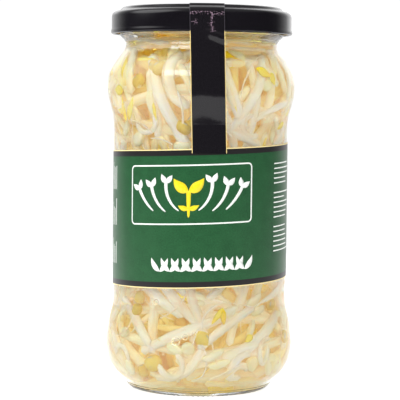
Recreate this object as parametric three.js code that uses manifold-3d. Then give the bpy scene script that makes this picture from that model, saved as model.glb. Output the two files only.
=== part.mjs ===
// A sealed glass jar of mung bean sprouts in brine: jar, twist-off lid with its sealing ring, wrap-round label,
// seal strip, brine, green beans and tangled bunches of sprouts.
// Millimetres, +Z up. The origin is the middle of the foot ring, on the surface that the jar stands on.
// The front is -Y, where the seal strip comes down to the label. An angle round the jar is in degrees from the
// front, positive towards +X.

import * as THREE from "three";
import { mergeVertices } from "three/addons/utils/BufferGeometryUtils.js";
import Module from "manifold-3d";

const wasm = await Module();
wasm.setup();

// Roundness
const SIDES = 32;
const STEM_SIDES = 5;
const TURN_PER_SPAN = 28;
const SPANS_LEAST = 3;
const SPANS_MOST = 7;
const SPANS_PER_CURVE = 8;
const INNER_SPANS_PER_CURVE = 5;

// The jar's outside, as [radius, height]
const FOOT = [
  [24.6, 0],
  [26.8, 1.8],
];
const LOWER_BULGE = [
  [28.4, 4.2],
  [31.3, 6.9],
  [33.6, 11.3],
  [34.4, 17.0],
  [33.7, 24.2],
  [32.1, 31.2],
  [31.9, 38.0],
];
const UPPER_BULGE = [
  [31.9, 90.5],
  [31.9, 95.5],
  [33.2, 102.6],
  [34.3, 109.6],
  [33.9, 115.8],
  [31.0, 120.7],
  [28.4, 124.2],
  [27.7, 126.8],
];
const FINISH = [
  [28.6, 128.2],
  [30.0, 129.5],
  [30.1, 130.4],
  [29.0, 131.4],
  [29.0, 136.0],
  [28.1, 136.9],
  [26.7, 136.9],
  [25.7, 135.9],
];
const PANEL_RADIUS = 31.9;
const WALL = 2.4;
const BORE_RADIUS = 25.3;
const BORE_FOOT = 127.0;
const FLOOR_EDGE = [23.6, 4.4];
const FLOOR_CENTRE = 5.4;
const PUSH_UP = [
  [0, 2.4],
  [16, 1.9],
  [20.6, 0.9],
  [22.4, 0],
];

// The thread lugs on the finish
const LUGS = 4;
const LUG_SPAN_DEG = 48;
const LUG_REACH = 1.5;
const LUG_HEIGHT = 1.5;
const LUG_START = 133.0;
const LUG_RISE = 1.1;
const LUG_SPANS = 5;

// The lid, as [radius, height above its hem]
const LID_HEM_HEIGHT = 130.8;
const LID_OUTSIDE = [
  [0, 8.7],
  [9.0, 8.7],
  [10.4, 8.3],
  [24.2, 8.3],
  [26.4, 9.1],
  [27.4, 9.2],
  [28.7, 9.2],
  [29.5, 8.6],
  [30.2, 7.9],
  [31.6, 7.6],
  [32.8, 6.8],
  [33.1, 5.6],
  [33.1, 1.8],
  [33.3, 1.3],
  [33.3, 0.5],
  [32.9, 0],
];
const LID_INSIDE = [
  [32.2, 0],
  [31.9, 0.5],
  [32.4, 1.8],
  [32.4, 5.4],
  [31.9, 6.5],
  [30.6, 7.25],
  [28.6, 7.3],
  [27.6, 8.5],
  [26.4, 8.5],
  [24.2, 7.7],
  [10.4, 7.7],
  [9.0, 8.1],
  [0, 8.1],
];
const LID_LUGS = 4;
const LID_LUG_SPAN_DEG = 14;
const LID_LUG_TIP_RADIUS = 31.0;
const LID_LUG_TURN_DEG = 45;

// The sealing ring between the glass rim and the lid
const LINER = [
  [26.4, 137.05],
  [30.2, 137.05],
  [30.2, 137.9],
  [26.4, 137.9],
];

// The label and the seal strip
const LABEL_LOW = 40.3;
const LABEL_HIGH = 88.6;
const LABEL_SKEW_DEG = 2.1;
const LABEL_GAP_DEG = 5.4;
const PAPER = 0.2;
const LAP = 0.1;
const STRIP_WIDTH = 12.3;
const STRIP_OFFSET = 3.1;
const STRIP_SKEW_DEG = 1.5;
const STRIP_ACROSS = 4;
const STRIP_ON_GLASS = [96, 115.5];
const STRIP_TOP_END = 9;

// The brine: a spool that fills the neck, the middle and the floor, and leaves the room for the sprouts
const COLUMN_RADIUS = 13.6;
const BRINE = [
  [0, 5.7],
  [21.5, 5.7],
  [21.5, 6.6],
  [COLUMN_RADIUS, 6.6],
  [COLUMN_RADIUS, 123.8],
  [23.5, 124.6],
  [24.9, 126.6],
  [24.9, 130.2],
  [0, 130.2],
];
const BRINE_SIDES = 20;

// The room for the sprouts, and how they lie
const ROOM_LOW = 7.2;
const ROOM_HIGH = 123.2;
const CLEAR = 0.42;
const CONTACT = -0.9;
const BURIED = -1.3;
const BEAN_RINGS = 20;
const MOST_BURIED = 0.34;
const MOST_BURIED_LISTED = 0.6;
const SAMPLE_STEP = 1.5;
const LAYER = 2.6;
const SEED = 20417;
const HEAD_DIP = 0.2;
const MOST_REACH = 2.6;
const HEAD_BALLS = {
  halves: [
    [1.6, 2.4],
    [4.4, 2.2],
  ],
  leafy: [
    [1.6, 2.4],
    [4.4, 2.2],
    [7.4, 1.6],
  ],
};
const TRIES_PER_BUNCH = 260;
const LISTED_PASSES = 3;
const NUDGES_BACK = [0, 0.9, 1.8, 2.7];
const NUDGES_UP = [0, 1.2, -1.2, 2.4, -2.4];

// Bunches of sprouts: rows of them round the jar, against the glass and behind those
const BUNCH_ROWS = [
  { name: "low", height: 24, around: 4, turn: 0, depth: 0, members: 5, leanMost: 80 },
  { name: "middle", height: 64, around: 4, turn: 45, depth: 0, members: 4, leanMost: 50 },
  { name: "high", height: 103, around: 4, turn: 0, depth: 0, members: 5, leanMost: 75 },
  { name: "inner_low", height: 34, around: 3, turn: 30, depth: 7.8, members: 2, leanMost: 70 },
  { name: "inner_high", height: 94, around: 3, turn: 90, depth: 7.8, members: 2, leanMost: 70 },
];

// Sprouts at the front, placed where the photograph shows them. lean is from upright, to the right; bend is the
// whole turn along the stem; depth is how far behind the glass.
const FRONT_LOW = [
  { at: 0, height: 23, lean: 5, length: 32, bend: 10, depth: 5.2, thick: 3.8 },
  { at: -27, height: 31, lean: 82, length: 46, bend: 12, depth: 2.6, thick: 3.8 },
  { at: 24, height: 29, lean: -80, length: 46, bend: 14, depth: 2.6, thick: 3.8 },
  { at: -22, height: 16, lean: -80, length: 44, bend: -14, depth: 2.6, thick: 3.8 },
  { at: 31, height: 16.5, lean: 84, length: 44, bend: 12, depth: 2.6, thick: 3.8 },
  { at: -11, height: 23, lean: 67, length: 34, bend: 10, depth: 0, thick: 3.8 },
  { at: -35, height: 27, lean: -2, length: 32, bend: 12, depth: 2.6, thick: 3.6 },
  { at: -48, height: 25.5, lean: -45, length: 26, bend: -8, depth: 0, thick: 3.7 },
  { at: -36, height: 38, lean: -52, length: 30, bend: 10, depth: 0, thick: 4.0 },
  { at: -17, height: 35.5, lean: -40, length: 32, bend: 8, depth: 0, thick: 4.0, root: true },
  { at: -5, height: 37, lean: -16, length: 34, bend: 5, depth: 0, thick: 3.8 },
  { at: 10, height: 35, lean: 24, length: 34, bend: -10, depth: 2.6, thick: 3.4 },
  { at: 44, height: 21, lean: 62, length: 31, bend: -12, depth: 0, thick: 4.4 },
  { at: 20, height: 25.5, lean: 56, length: 26, bend: 12, depth: 0, thick: 3.4 },
  { at: 16, height: 32.5, lean: -60, length: 15, bend: -70, depth: 0, thick: 3.0, head: "leafy" },
  { at: 10, height: 13.5, lean: 77, length: 32, bend: 8, depth: 2.6, thick: 2.4 },
  { at: -13, height: 10.5, lean: 52, length: 24, bend: -50, depth: 0, thick: 3.6 },
  { at: 42, height: 12.5, lean: 100, length: 15, bend: 60, depth: 0, thick: 3.0, head: "halves" },
  { at: 28, height: 11.5, lean: 20, length: 16, bend: 150, depth: 0, thick: 3.0 },
];
const FRONT_HIGH = [
  { at: 2, height: 106, lean: -8, length: 32, bend: 10, depth: 5.2, thick: 3.8 },
  { at: -30, height: 108, lean: 80, length: 48, bend: 12, depth: 2.6, thick: 3.8 },
  { at: 30, height: 104, lean: -80, length: 48, bend: -14, depth: 2.6, thick: 3.8 },
  { at: -20, height: 96, lean: -82, length: 46, bend: 12, depth: 2.6, thick: 3.8 },
  { at: 16, height: 116, lean: 84, length: 40, bend: 12, depth: 2.6, thick: 3.8 },
  { at: -17, height: 113.5, lean: -10, length: 24, bend: 115, depth: 0, thick: 4.2 },
  { at: -21, height: 101, lean: -26, length: 44, bend: 12, depth: 0, thick: 4.2 },
  { at: -15, height: 118.5, lean: 40, length: 18, bend: 20, depth: 2.6, thick: 3.6 },
  { at: -54, height: 101, lean: -22, length: 26, bend: -14, depth: 0, thick: 2.8, head: "leafy" },
  { at: -35, height: 104, lean: 172, length: 24, bend: 10, depth: 0, thick: 3.2, head: "leafy" },
  { at: 20, height: 112, lean: -20, length: 36, bend: 12, depth: 0, thick: 4.2 },
  { at: 37, height: 108, lean: 30, length: 30, bend: -10, depth: 0, thick: 3.8 },
  { at: 58, height: 107, lean: 4, length: 26, bend: 10, depth: 2.6, thick: 3.8 },
  { at: 29, height: 94.5, lean: -62, length: 28, bend: 6, depth: 0, thick: 3.8 },
  { at: 46, height: 92.5, lean: 48, length: 28, bend: -8, depth: 2.6, thick: 3.8 },
  { at: -27, height: 91, lean: -14, length: 30, bend: 14, depth: 2.6, thick: 4.0 },
  { at: 50, height: 117, lean: -60, length: 16, bend: -50, depth: 0, thick: 3.0, head: "leafy" },
];

// Green beans, each loose in a gap between the sprouts
const BEANS = [
  { at: -44, height: 32.6, roll: 20 },
  { at: -31, height: 13.2, roll: 75 },
  { at: 68, height: 25.0, roll: 10 },
  { at: -30, height: 116.6, roll: 50 },
  { at: -12.5, height: 97.4, roll: 35 },
  { at: 118, height: 30.0, roll: 70 },
  { at: 162, height: 96.0, roll: 15 },
  { at: -118, height: 108.0, roll: 40 },
  { at: -150, height: 22.0, roll: 80 },
];
const BEAN = { long: 5.2, wide: 4.2, deep: 4.0 };

const degrees = THREE.MathUtils.degToRad;

// Geometry helpers

// The geometry with shared vertices merged, no flat triangles, and its faces pointing out.
function tidy(geometry) {
  const bare = new THREE.BufferGeometry();
  bare.setAttribute("position", geometry.getAttribute("position"));
  bare.setIndex(geometry.index);
  const merged = mergeVertices(bare, 1e-4);
  const kept = [];
  const index = merged.index.array;
  for (let i = 0; i < index.length; i += 3) {
    const [a, b, c] = index.slice(i, i + 3);
    if (a !== b && b !== c && c !== a) kept.push([a, b, c]);
  }
  const at = (i) => new THREE.Vector3().fromBufferAttribute(merged.getAttribute("position"), i);
  const volume = kept.reduce((sum, [a, b, c]) => sum + at(a).dot(at(b).cross(at(c))) / 6, 0);
  merged.setIndex(kept.flatMap(([a, b, c]) => (volume < 0 ? [a, c, b] : [a, b, c])));
  merged.computeVertexNormals();
  return merged;
}

// A solid of revolution about Z. Its [radius, height] points start and end on the axis, or close on themselves.
function turned(points, sides = SIDES) {
  const profile = points.map(([radius, height]) => new THREE.Vector2(radius, height));
  return tidy(new THREE.LatheGeometry(profile, sides).rotateX(Math.PI / 2));
}

// A closed solid through rings of points, with flat ends.
function loft(rings) {
  const around = rings[0].length;
  const index = [];
  for (let i = 0; i < rings.length - 1; i++) {
    for (let j = 0; j < around; j++) {
      const a = i * around + j;
      const b = i * around + ((j + 1) % around);
      index.push(a, b, b + around, a, b + around, a + around);
    }
  }
  const last = (rings.length - 1) * around;
  for (let j = 1; j < around - 1; j++) {
    index.push(0, j + 1, j);
    index.push(last, last + j, last + j + 1);
  }
  const geometry = new THREE.BufferGeometry().setFromPoints(rings.flat());
  geometry.setIndex(index);
  return tidy(geometry);
}

function solidOf(geometry) {
  return new wasm.Manifold(
    new wasm.Mesh({
      numProp: 3,
      vertProperties: geometry.getAttribute("position").array,
      triVerts: new Uint32Array(geometry.index.array),
    }),
  );
}

// The solid's largest single body as a geometry. Loose scraps are dropped.
function geometryOf(solid) {
  const body = solid.decompose().reduce((best, next) => (next.volume() > best.volume() ? next : best));
  const mesh = body.getMesh();
  const geometry = new THREE.BufferGeometry();
  geometry.setAttribute("position", new THREE.BufferAttribute(mesh.vertProperties, 3));
  geometry.setIndex(new THREE.BufferAttribute(mesh.triVerts, 1));
  return tidy(geometry);
}

const fused = (geometries) => geometryOf(wasm.Manifold.union(geometries.map(solidOf)));

// A point at an angle round the jar.
function around(radius, angleDeg, height) {
  const angle = degrees(angleDeg);
  return new THREE.Vector3(radius * Math.sin(angle), -radius * Math.cos(angle), height);
}

// A smooth curve through [radius, height] points, as points.
function smooth(points, spans) {
  const curve = new THREE.SplineCurve(points.map(([radius, height]) => new THREE.Vector2(radius, height)));
  return curve.getPoints(spans).map((p) => [p.x, p.y]);
}

// The same points moved into the glass wall's inner face, square to the outline.
function inwards(points, distance) {
  return points.map(([radius, height], i) => {
    const [r0, h0] = points[Math.max(i - 1, 0)];
    const [r1, h1] = points[Math.min(i + 1, points.length - 1)];
    const length = Math.hypot(r1 - r0, h1 - h0);
    return [radius - (distance * (h1 - h0)) / length, height + (distance * (r1 - r0)) / length];
  });
}

// The jar

const innerWall = [
  FLOOR_EDGE,
  ...inwards(smooth(LOWER_BULGE, INNER_SPANS_PER_CURVE), WALL),
  ...inwards(smooth(UPPER_BULGE, INNER_SPANS_PER_CURVE), WALL),
  [BORE_RADIUS, BORE_FOOT],
];

function threadLug(turn) {
  const rings = [];
  for (let i = 0; i <= LUG_SPANS; i++) {
    const share = i / LUG_SPANS;
    const angle = turn + LUG_SPAN_DEG * share;
    const base = LUG_START + LUG_RISE * share;
    const reach = LUG_REACH * Math.min(1, 4 * share + 0.2, 4 * (1 - share) + 0.2);
    const root = 28.4;
    rings.push([
      around(root, angle, base),
      around(29.0 + reach, angle, base + LUG_HEIGHT * 0.3),
      around(29.0 + reach, angle, base + LUG_HEIGHT * 0.7),
      around(root, angle, base + LUG_HEIGHT),
    ]);
  }
  return loft(rings);
}

function jarGeometry() {
  const outline = [
    ...PUSH_UP,
    ...FOOT,
    ...smooth(LOWER_BULGE, SPANS_PER_CURVE),
    ...smooth(UPPER_BULGE, SPANS_PER_CURVE),
    ...FINISH,
    ...[...innerWall].reverse(),
    [0, FLOOR_CENTRE],
  ];
  const lugs = [];
  for (let i = 0; i < LUGS; i++) lugs.push(threadLug((360 / LUGS) * i));
  return fused([turned(outline), ...lugs]);
}

// The lid and its sealing ring

function lidLug(turn) {
  const rings = [-0.5, 0, 0.5].map((share) => {
    const angle = turn + LID_LUG_SPAN_DEG * share;
    const tip = LID_LUG_TIP_RADIUS + 2 * Math.abs(share) * 0.7;
    const corners = [
      [32.6, 0.3],
      [tip, 0.45],
      [tip, 1.0],
      [32.6, 1.5],
    ];
    return corners.map(([radius, height]) => around(radius, angle, height));
  });
  return loft(rings);
}

function lidGeometry() {
  const lugs = [];
  for (let i = 0; i < LID_LUGS; i++) lugs.push(lidLug(LID_LUG_TURN_DEG + (360 / LID_LUGS) * i));
  return fused([turned([...LID_OUTSIDE, ...LID_INSIDE]), ...lugs]);
}

// The label: a skewed band round the panel with a gap at the back.
function labelGeometry() {
  const inside = PANEL_RADIUS + LAP;
  const outside = inside + PAPER;
  const reach = 180 - LABEL_GAP_DEG;
  const step = 360 / SIDES;
  const last = Math.floor(reach / step);
  const angles = [-reach];
  for (let i = -last; i <= last; i++) angles.push(i * step);
  angles.push(reach);
  const rings = [];
  for (const angle of angles) {
    const rise = degrees(angle) * PANEL_RADIUS * Math.tan(degrees(LABEL_SKEW_DEG));
    rings.push([
      around(inside, angle, LABEL_LOW + rise),
      around(outside, angle, LABEL_LOW + rise),
      around(outside, angle, LABEL_HIGH + rise),
      around(inside, angle, LABEL_HIGH + rise),
    ]);
  }
  return loft(rings);
}

// The seal strip: constant width, lapped over the label's edge, up the glass, across to the lid and over it.
function stripGeometry() {
  const overLabel = PANEL_RADIUS + 2 * LAP + PAPER;
  const clearOfGlass = inwards(smooth(UPPER_BULGE, SPANS_PER_CURVE), -LAP - PAPER / 2);
  const glass = clearOfGlass.filter(([, height]) => height > STRIP_ON_GLASS[0] && height < STRIP_ON_GLASS[1]);
  const hem = LID_HEM_HEIGHT;
  const side = [
    [overLabel, LABEL_HIGH - 1.6],
    [overLabel, LABEL_HIGH + 1.4],
    [PANEL_RADIUS + 2 * LAP, LABEL_HIGH + 4],
    ...glass,
    [33.75, hem - 6],
    [33.55, hem + 0.2],
    [33.4, hem + 5.8],
    [32.9, hem + 7.25],
    [31.6, hem + 8.0],
    [30.2, hem + 8.5],
    [29.0, hem + 9.35],
    [27.2, hem + 9.4],
    [24.0, hem + 8.6],
  ];
  const over = [
    [STRIP_TOP_END + 2, hem + 8.6],
    [STRIP_TOP_END, hem + 8.85],
  ];
  const ring = (distance, height, wraps) => {
    const middle = STRIP_OFFSET - (height - LABEL_HIGH) * Math.tan(degrees(STRIP_SKEW_DEG));
    const row = (lift, rise) => {
      const points = [];
      for (let i = 0; i < STRIP_ACROSS; i++) {
        const x = middle + STRIP_WIDTH * (i / (STRIP_ACROSS - 1) - 0.5);
        const out = distance + lift;
        points.push(new THREE.Vector3(x, wraps ? -Math.sqrt(out * out - x * x) : -out, height + rise));
      }
      return points;
    };
    const steep = wraps && height < hem + 7;
    const outer = steep ? row(PAPER, 0) : row(0, PAPER);
    return [...row(0, 0), ...outer.reverse()];
  };
  return loft([...side.map(([r, z]) => ring(r, z, true)), ...over.map(([y, z]) => ring(y, z, false))]);
}

// The sprouts

// Mulberry32: the same draws on every run.
function seeded(seed) {
  let state = seed >>> 0;
  return () => {
    state = (state + 0x6d2b79f5) >>> 0;
    let t = state;
    t = Math.imul(t ^ (t >>> 15), t | 1);
    t ^= t + Math.imul(t ^ (t >>> 7), t | 61);
    return ((t ^ (t >>> 14)) >>> 0) / 4294967296;
  };
}

// The inner wall's radius at a height.
function wallAt(height) {
  for (let i = 1; i < innerWall.length; i++) {
    const [r0, h0] = innerWall[i - 1];
    const [r1, h1] = innerWall[i];
    if (height <= h1) return r0 + ((r1 - r0) * Math.max(0, height - h0)) / (h1 - h0);
  }
  return BORE_RADIUS;
}

// The radius that leaves a body of this reach clear of the wall at a height.
function roomAt(height, reach) {
  return Math.min(wallAt(height - reach), wallAt(height), wallAt(height + reach)) - reach - CLEAR;
}

// A stem's thickness along it: a root end tapers to a thin tail, the other end is a little slimmer.
function thicknessAt(sprout, share) {
  const tail = sprout.root ? Math.min(1, 0.22 + 2.6 * share) : Math.min(1, 0.8 + 2 * share);
  return (sprout.thick / 2) * tail * (1 - 0.14 * Math.max(0, share - 0.7) / 0.3);
}

// How many straight spans a stem needs, from how much it turns by itself and with the wall.
function spansOf(sprout) {
  const level = sprout.length * Math.abs(Math.sin(degrees(sprout.lean)));
  const roundTheWall = THREE.MathUtils.radToDeg(level / (PANEL_RADIUS - WALL - sprout.depth));
  const spans = Math.round((Math.abs(sprout.bend) + roundTheWall) / TURN_PER_SPAN);
  return THREE.MathUtils.clamp(spans, SPANS_LEAST, SPANS_MOST);
}

// The corners of a stem that lies along the glass wall: its heading turns evenly along its length.
function stemPath(sprout) {
  const spans = spansOf(sprout);
  const step = sprout.length / spans;
  const flat = [[0, 0]];
  for (let i = 0; i < spans; i++) {
    const heading = degrees(sprout.lean + sprout.bend * ((i + 0.5) / spans - 0.5));
    const [u, v] = flat[i];
    flat.push([u + step * Math.sin(heading), v + step * Math.cos(heading)]);
  }
  const u0 = flat.reduce((sum, [u]) => sum + u, 0) / flat.length;
  const v0 = flat.reduce((sum, [, v]) => sum + v, 0) / flat.length;
  return flat.map(([u, v], i) => {
    const reach = thicknessAt(sprout, i / spans);
    const height = THREE.MathUtils.clamp(sprout.height + v - v0, ROOM_LOW + reach, ROOM_HIGH - reach);
    const least = COLUMN_RADIUS + CLEAR + sprout.thick / 2;
    const radius = Math.max(roomAt(height, sprout.thick / 2) - sprout.depth, least);
    const angle = sprout.at + THREE.MathUtils.radToDeg((u - u0) / radius);
    return { point: around(radius, angle, height), reach };
  });
}

// A frame at the end of a stem: ahead along it, tilted off the glass, then across it, and out to the glass.
function headFrame(path) {
  const [before, end] = path.slice(-2);
  const out = new THREE.Vector3(end.point.x, end.point.y, 0).normalize();
  const ahead = end.point.clone().sub(before.point).normalize().addScaledVector(out, -HEAD_DIP).normalize();
  const across = new THREE.Vector3().crossVectors(out, ahead).normalize();
  out.crossVectors(ahead, across);
  return { end: end.point, ahead, across, out };
}

// Balls that a sprout fills, close together: its stem, and its head or leaves past the end.
function samplesOf(sprout) {
  const path = stemPath(sprout);
  const parts = Math.ceil(sprout.length / spansOf(sprout) / SAMPLE_STEP);
  const balls = [path[0]];
  for (let i = 1; i < path.length; i++) {
    const [from, to] = [path[i - 1], path[i]];
    for (let j = 1; j <= parts; j++) {
      const point = from.point.clone().lerp(to.point, j / parts);
      balls.push({ point, reach: THREE.MathUtils.lerp(from.reach, to.reach, j / parts) });
    }
  }
  if (sprout.head) {
    const { end, ahead } = headFrame(path);
    for (const [distance, reach] of HEAD_BALLS[sprout.head]) {
      balls.push({ point: end.clone().addScaledVector(ahead, distance), reach });
    }
  }
  return balls;
}

// The least gap between two sets of balls, and the share of the first that is deep inside the second.
function meeting(balls, others) {
  let least = Infinity;
  let buried = 0;
  for (const { point, reach } of balls) {
    let nearest = Infinity;
    for (const other of others) {
      nearest = Math.min(nearest, point.distanceTo(other.point) - reach - other.reach);
    }
    least = Math.min(least, nearest);
    if (nearest < BURIED) buried += 1 / balls.length;
  }
  return { least, buried };
}

function stemGeometry(path) {
  const rings = path.map(({ point, reach }, i) => {
    const from = path[Math.max(i - 1, 0)].point;
    const to = path[Math.min(i + 1, path.length - 1)].point;
    const along = to.clone().sub(from).normalize();
    const out = new THREE.Vector3(point.x, point.y, 0).normalize();
    const side = new THREE.Vector3().crossVectors(along, out).normalize();
    const up = new THREE.Vector3().crossVectors(side, along);
    const ring = [];
    for (let j = 0; j < STEM_SIDES; j++) {
      const turn = (2 * Math.PI * j) / STEM_SIDES;
      const offset = side.clone().multiplyScalar(Math.cos(turn)).addScaledVector(up, Math.sin(turn));
      ring.push(point.clone().addScaledVector(offset, reach));
    }
    return ring;
  });
  return loft(rings);
}

// An oval body with its long side along a direction that leans from ahead towards across.
function oval(frame, forward, sideways, lean, long, wide, deep) {
  const { end, ahead, across, out } = frame;
  const length = ahead.clone().multiplyScalar(Math.cos(lean)).addScaledVector(across, Math.sin(lean));
  const width = new THREE.Vector3().crossVectors(out, length);
  const basis = new THREE.Matrix4().makeBasis(width, length, out);
  const place = end.clone().addScaledVector(ahead, forward).addScaledVector(across, sideways);
  const body = new THREE.SphereGeometry(1, 5, 3).scale(wide / 2, long / 2, deep / 2);
  return tidy(body.applyMatrix4(basis).translate(place.x, place.y, place.z));
}

// A pointed blade from the end of a stem.
function blade(frame, lean, long) {
  const { end, ahead, across, out } = frame;
  const length = ahead.clone().multiplyScalar(Math.cos(lean)).addScaledVector(across, Math.sin(lean));
  const width = new THREE.Vector3().crossVectors(out, length);
  const rings = [
    [-0.5, 0.5],
    [long * 0.45, 1.2],
    [long, 0.3],
  ].map(([distance, half]) => {
    const middle = end.clone().addScaledVector(length, distance);
    return [
      middle.clone().addScaledVector(width, -half),
      middle.clone().addScaledVector(out, -0.45),
      middle.clone().addScaledVector(width, half),
      middle.clone().addScaledVector(out, 0.45),
    ];
  });
  return loft(rings);
}

// The pieces of one sprout, before they are fused.
function sproutPieces(sprout) {
  const path = stemPath(sprout);
  const pieces = [stemGeometry(path)];
  if (!sprout.head) return pieces;
  const frame = headFrame(path);
  pieces.push(oval(frame, 2.0, -1.2, -0.32, 7.2, 3.0, 3.4));
  pieces.push(oval(frame, 2.0, 1.2, 0.32, 7.2, 3.0, 3.4));
  if (sprout.head === "leafy") {
    pieces.push(blade(frame, -0.15, 9.2));
    pieces.push(blade(frame, 0.5, 8.0));
  }
  return pieces;
}

const draw = seeded(SEED);
const between = (low, high) => low + (high - low) * draw();

// A sprout with drawn place and shape, within its bunch's cell.
function drawnSprout(bunch) {
  const { row } = bunch;
  const cell = 360 / row.around;
  const kind = draw();
  const sprout = {
    at: bunch.at + between(-0.5, 0.5) * cell,
    height: row.height + between(-17, 17),
    lean: between(-row.leanMost, row.leanMost),
    length: between(26, 46),
    bend: between(-45, 45),
    depth: row.depth + LAYER * Math.floor(between(0, 2)),
    thick: between(3.1, 4.3),
    root: kind < 0.25,
  };
  if (kind > 0.8) sprout.head = kind > 0.92 ? "leafy" : "halves";
  return sprout;
}

const beanPlace = ({ at, height }) => around(roomAt(height, BEAN.long / 2), at, height);

// Puts each bean in the nearest gap to its place, by trying places on rings round it.
function placeBeans(bunches) {
  const balls = bunches.flatMap((bunch) => bunch.balls);
  return BEANS.map((bean) => {
    for (let ring = 0; ring <= BEAN_RINGS; ring++) {
      for (let step = 0; step < 16; step++) {
        const turn = (Math.PI / 8) * step;
        const away = 0.7 * ring;
        const at = bean.at + THREE.MathUtils.radToDeg((away * Math.sin(turn)) / PANEL_RADIUS);
        const height = bean.height + away * Math.cos(turn);
        const ball = { point: beanPlace({ at, height }), reach: BEAN.long / 2 };
        if (outOfRoom(ball) || meeting([ball], balls).least < CLEAR) continue;
        balls.push(ball);
        return { ...bean, at, height };
      }
    }
    throw new Error("no gap near a bean");
  });
}

// Whether a ball comes too close to the glass, the floor, the neck or the middle.
function outOfRoom({ point, reach }) {
  const slim = Math.min(reach, MOST_REACH);
  const radius = Math.hypot(point.x, point.y);
  if (point.z - slim < ROOM_LOW - 0.1 || point.z + slim > ROOM_HIGH + 0.1) return true;
  return radius > roomAt(point.z, slim) + 0.4 || radius < COLUMN_RADIUS + slim + 0.1;
}

// Adds a sprout to a bunch if it is clear of everything else, touches its own bunch and isn't sunk in it.
function addIfClear(bunch, sprout, bunches, beanBalls, mostBuried = MOST_BURIED) {
  const balls = samplesOf(sprout);
  if (balls.some(outOfRoom)) return false;
  const others = bunches.filter((b) => b !== bunch).flatMap((b) => b.balls);
  if (meeting(balls, [...others, ...beanBalls]).least < CLEAR) return false;
  if (bunch.balls.length) {
    const { least, buried } = meeting(balls, bunch.balls);
    if (least > CONTACT || buried > mostBuried) return false;
  }
  bunch.members.push(sprout);
  bunch.balls.push(...balls);
  return true;
}

// Listed sprouts go in first, each moved a little where it wouldn't be clear or wouldn't touch.
function placeListed(bunch, list, bunches) {
  let waiting = list;
  for (let pass = 0; pass < LISTED_PASSES; pass++) {
    waiting = waiting.filter((sprout) => {
      for (const back of NUDGES_BACK) {
        for (const lift of NUDGES_UP) {
          const moved = { ...sprout, depth: sprout.depth + back, height: sprout.height + lift };
          if (addIfClear(bunch, moved, bunches, [], MOST_BURIED_LISTED)) return false;
        }
      }
      return true;
    });
  }
}

// All bunches with their sprouts, and the beans in the gaps.
function growBunches() {
  const bunches = BUNCH_ROWS.flatMap((row) =>
    Array.from({ length: row.around }, (_, i) => ({
      name: `sprout_bunch_${row.name}_${i + 1}`,
      row,
      at: row.turn + (360 / row.around) * i,
      members: [],
      balls: [],
    })),
  );
  placeListed(bunches[0], FRONT_LOW, bunches);
  placeListed(bunches[8], FRONT_HIGH, bunches);
  const beans = placeBeans(bunches);
  const beanBalls = beans.map((bean) => ({ point: beanPlace(bean), reach: BEAN.long / 2 }));
  for (let n = 0; n < TRIES_PER_BUNCH; n++) {
    for (const bunch of bunches) {
      const sprout = drawnSprout(bunch);
      if (bunch.members.length < bunch.row.members) addIfClear(bunch, sprout, bunches, beanBalls);
    }
  }
  return { bunches, beans };
}

// Materials

const material = (color, roughness, metalness = 0, opacity = 1) =>
  new THREE.MeshStandardMaterial({ color, roughness, metalness, opacity, transparent: opacity < 1 });

const MATERIALS = {
  glass: material("#e3ece2", 0.04, 0, 0.3),
  lid: material("#232126", 0.22, 0.1),
  liner: material("#d9d4c8", 0.6),
  label: material("#346044", 0.45),
  strip: material("#242226", 0.3),
  brine: material("#e2c782", 0.05, 0, 0.5),
  sprouts: material("#ebdfbf", 0.45),
  beans: material("#b9a23a", 0.4),
};

// The assembly

function part(name, geometry, look) {
  const mesh = new THREE.Mesh(geometry, MATERIALS[look]);
  mesh.name = name;
  return mesh;
}

const container = new THREE.Group();
container.add(part("jar", jarGeometry(), "glass"));
const closure = new THREE.Group();
closure.position.z = LID_HEM_HEIGHT;
closure.add(part("lid", lidGeometry(), "lid"));
container.add(closure);
container.add(part("lid_liner", turned([...LINER, LINER[0]]), "liner"));

const dress = new THREE.Group();
dress.add(part("label", labelGeometry(), "label"));
dress.add(part("seal_strip", stripGeometry(), "strip"));

const contents = new THREE.Group();
contents.add(part("brine", turned(BRINE, BRINE_SIDES), "brine"));
const { bunches, beans } = growBunches();
for (const bunch of bunches) {
  contents.add(part(bunch.name, fused(bunch.members.flatMap(sproutPieces)), "sprouts"));
}
beans.forEach((bean, i) => {
  const shape = new THREE.SphereGeometry(1, 7, 5).scale(BEAN.wide / 2, BEAN.deep / 2, BEAN.long / 2);
  const mesh = part(`green_bean_${i + 1}`, tidy(shape), "beans");
  mesh.position.copy(beanPlace(bean));
  mesh.rotation.set(0, degrees(bean.roll), degrees(bean.at), "ZYX");
  contents.add(mesh);
});

const jarOfSprouts = new THREE.Group();
jarOfSprouts.add(container, dress, contents);

export default jarOfSprouts;
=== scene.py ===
"""A sealed jar of bean sprouts on a light table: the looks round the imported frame.

Lengths are in millimetres, up to one factor where a mesh is made. The jar's axis is Z and its front is -Y.
An angle round the jar is in degrees from the front, positive towards +X.
"""

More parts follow.
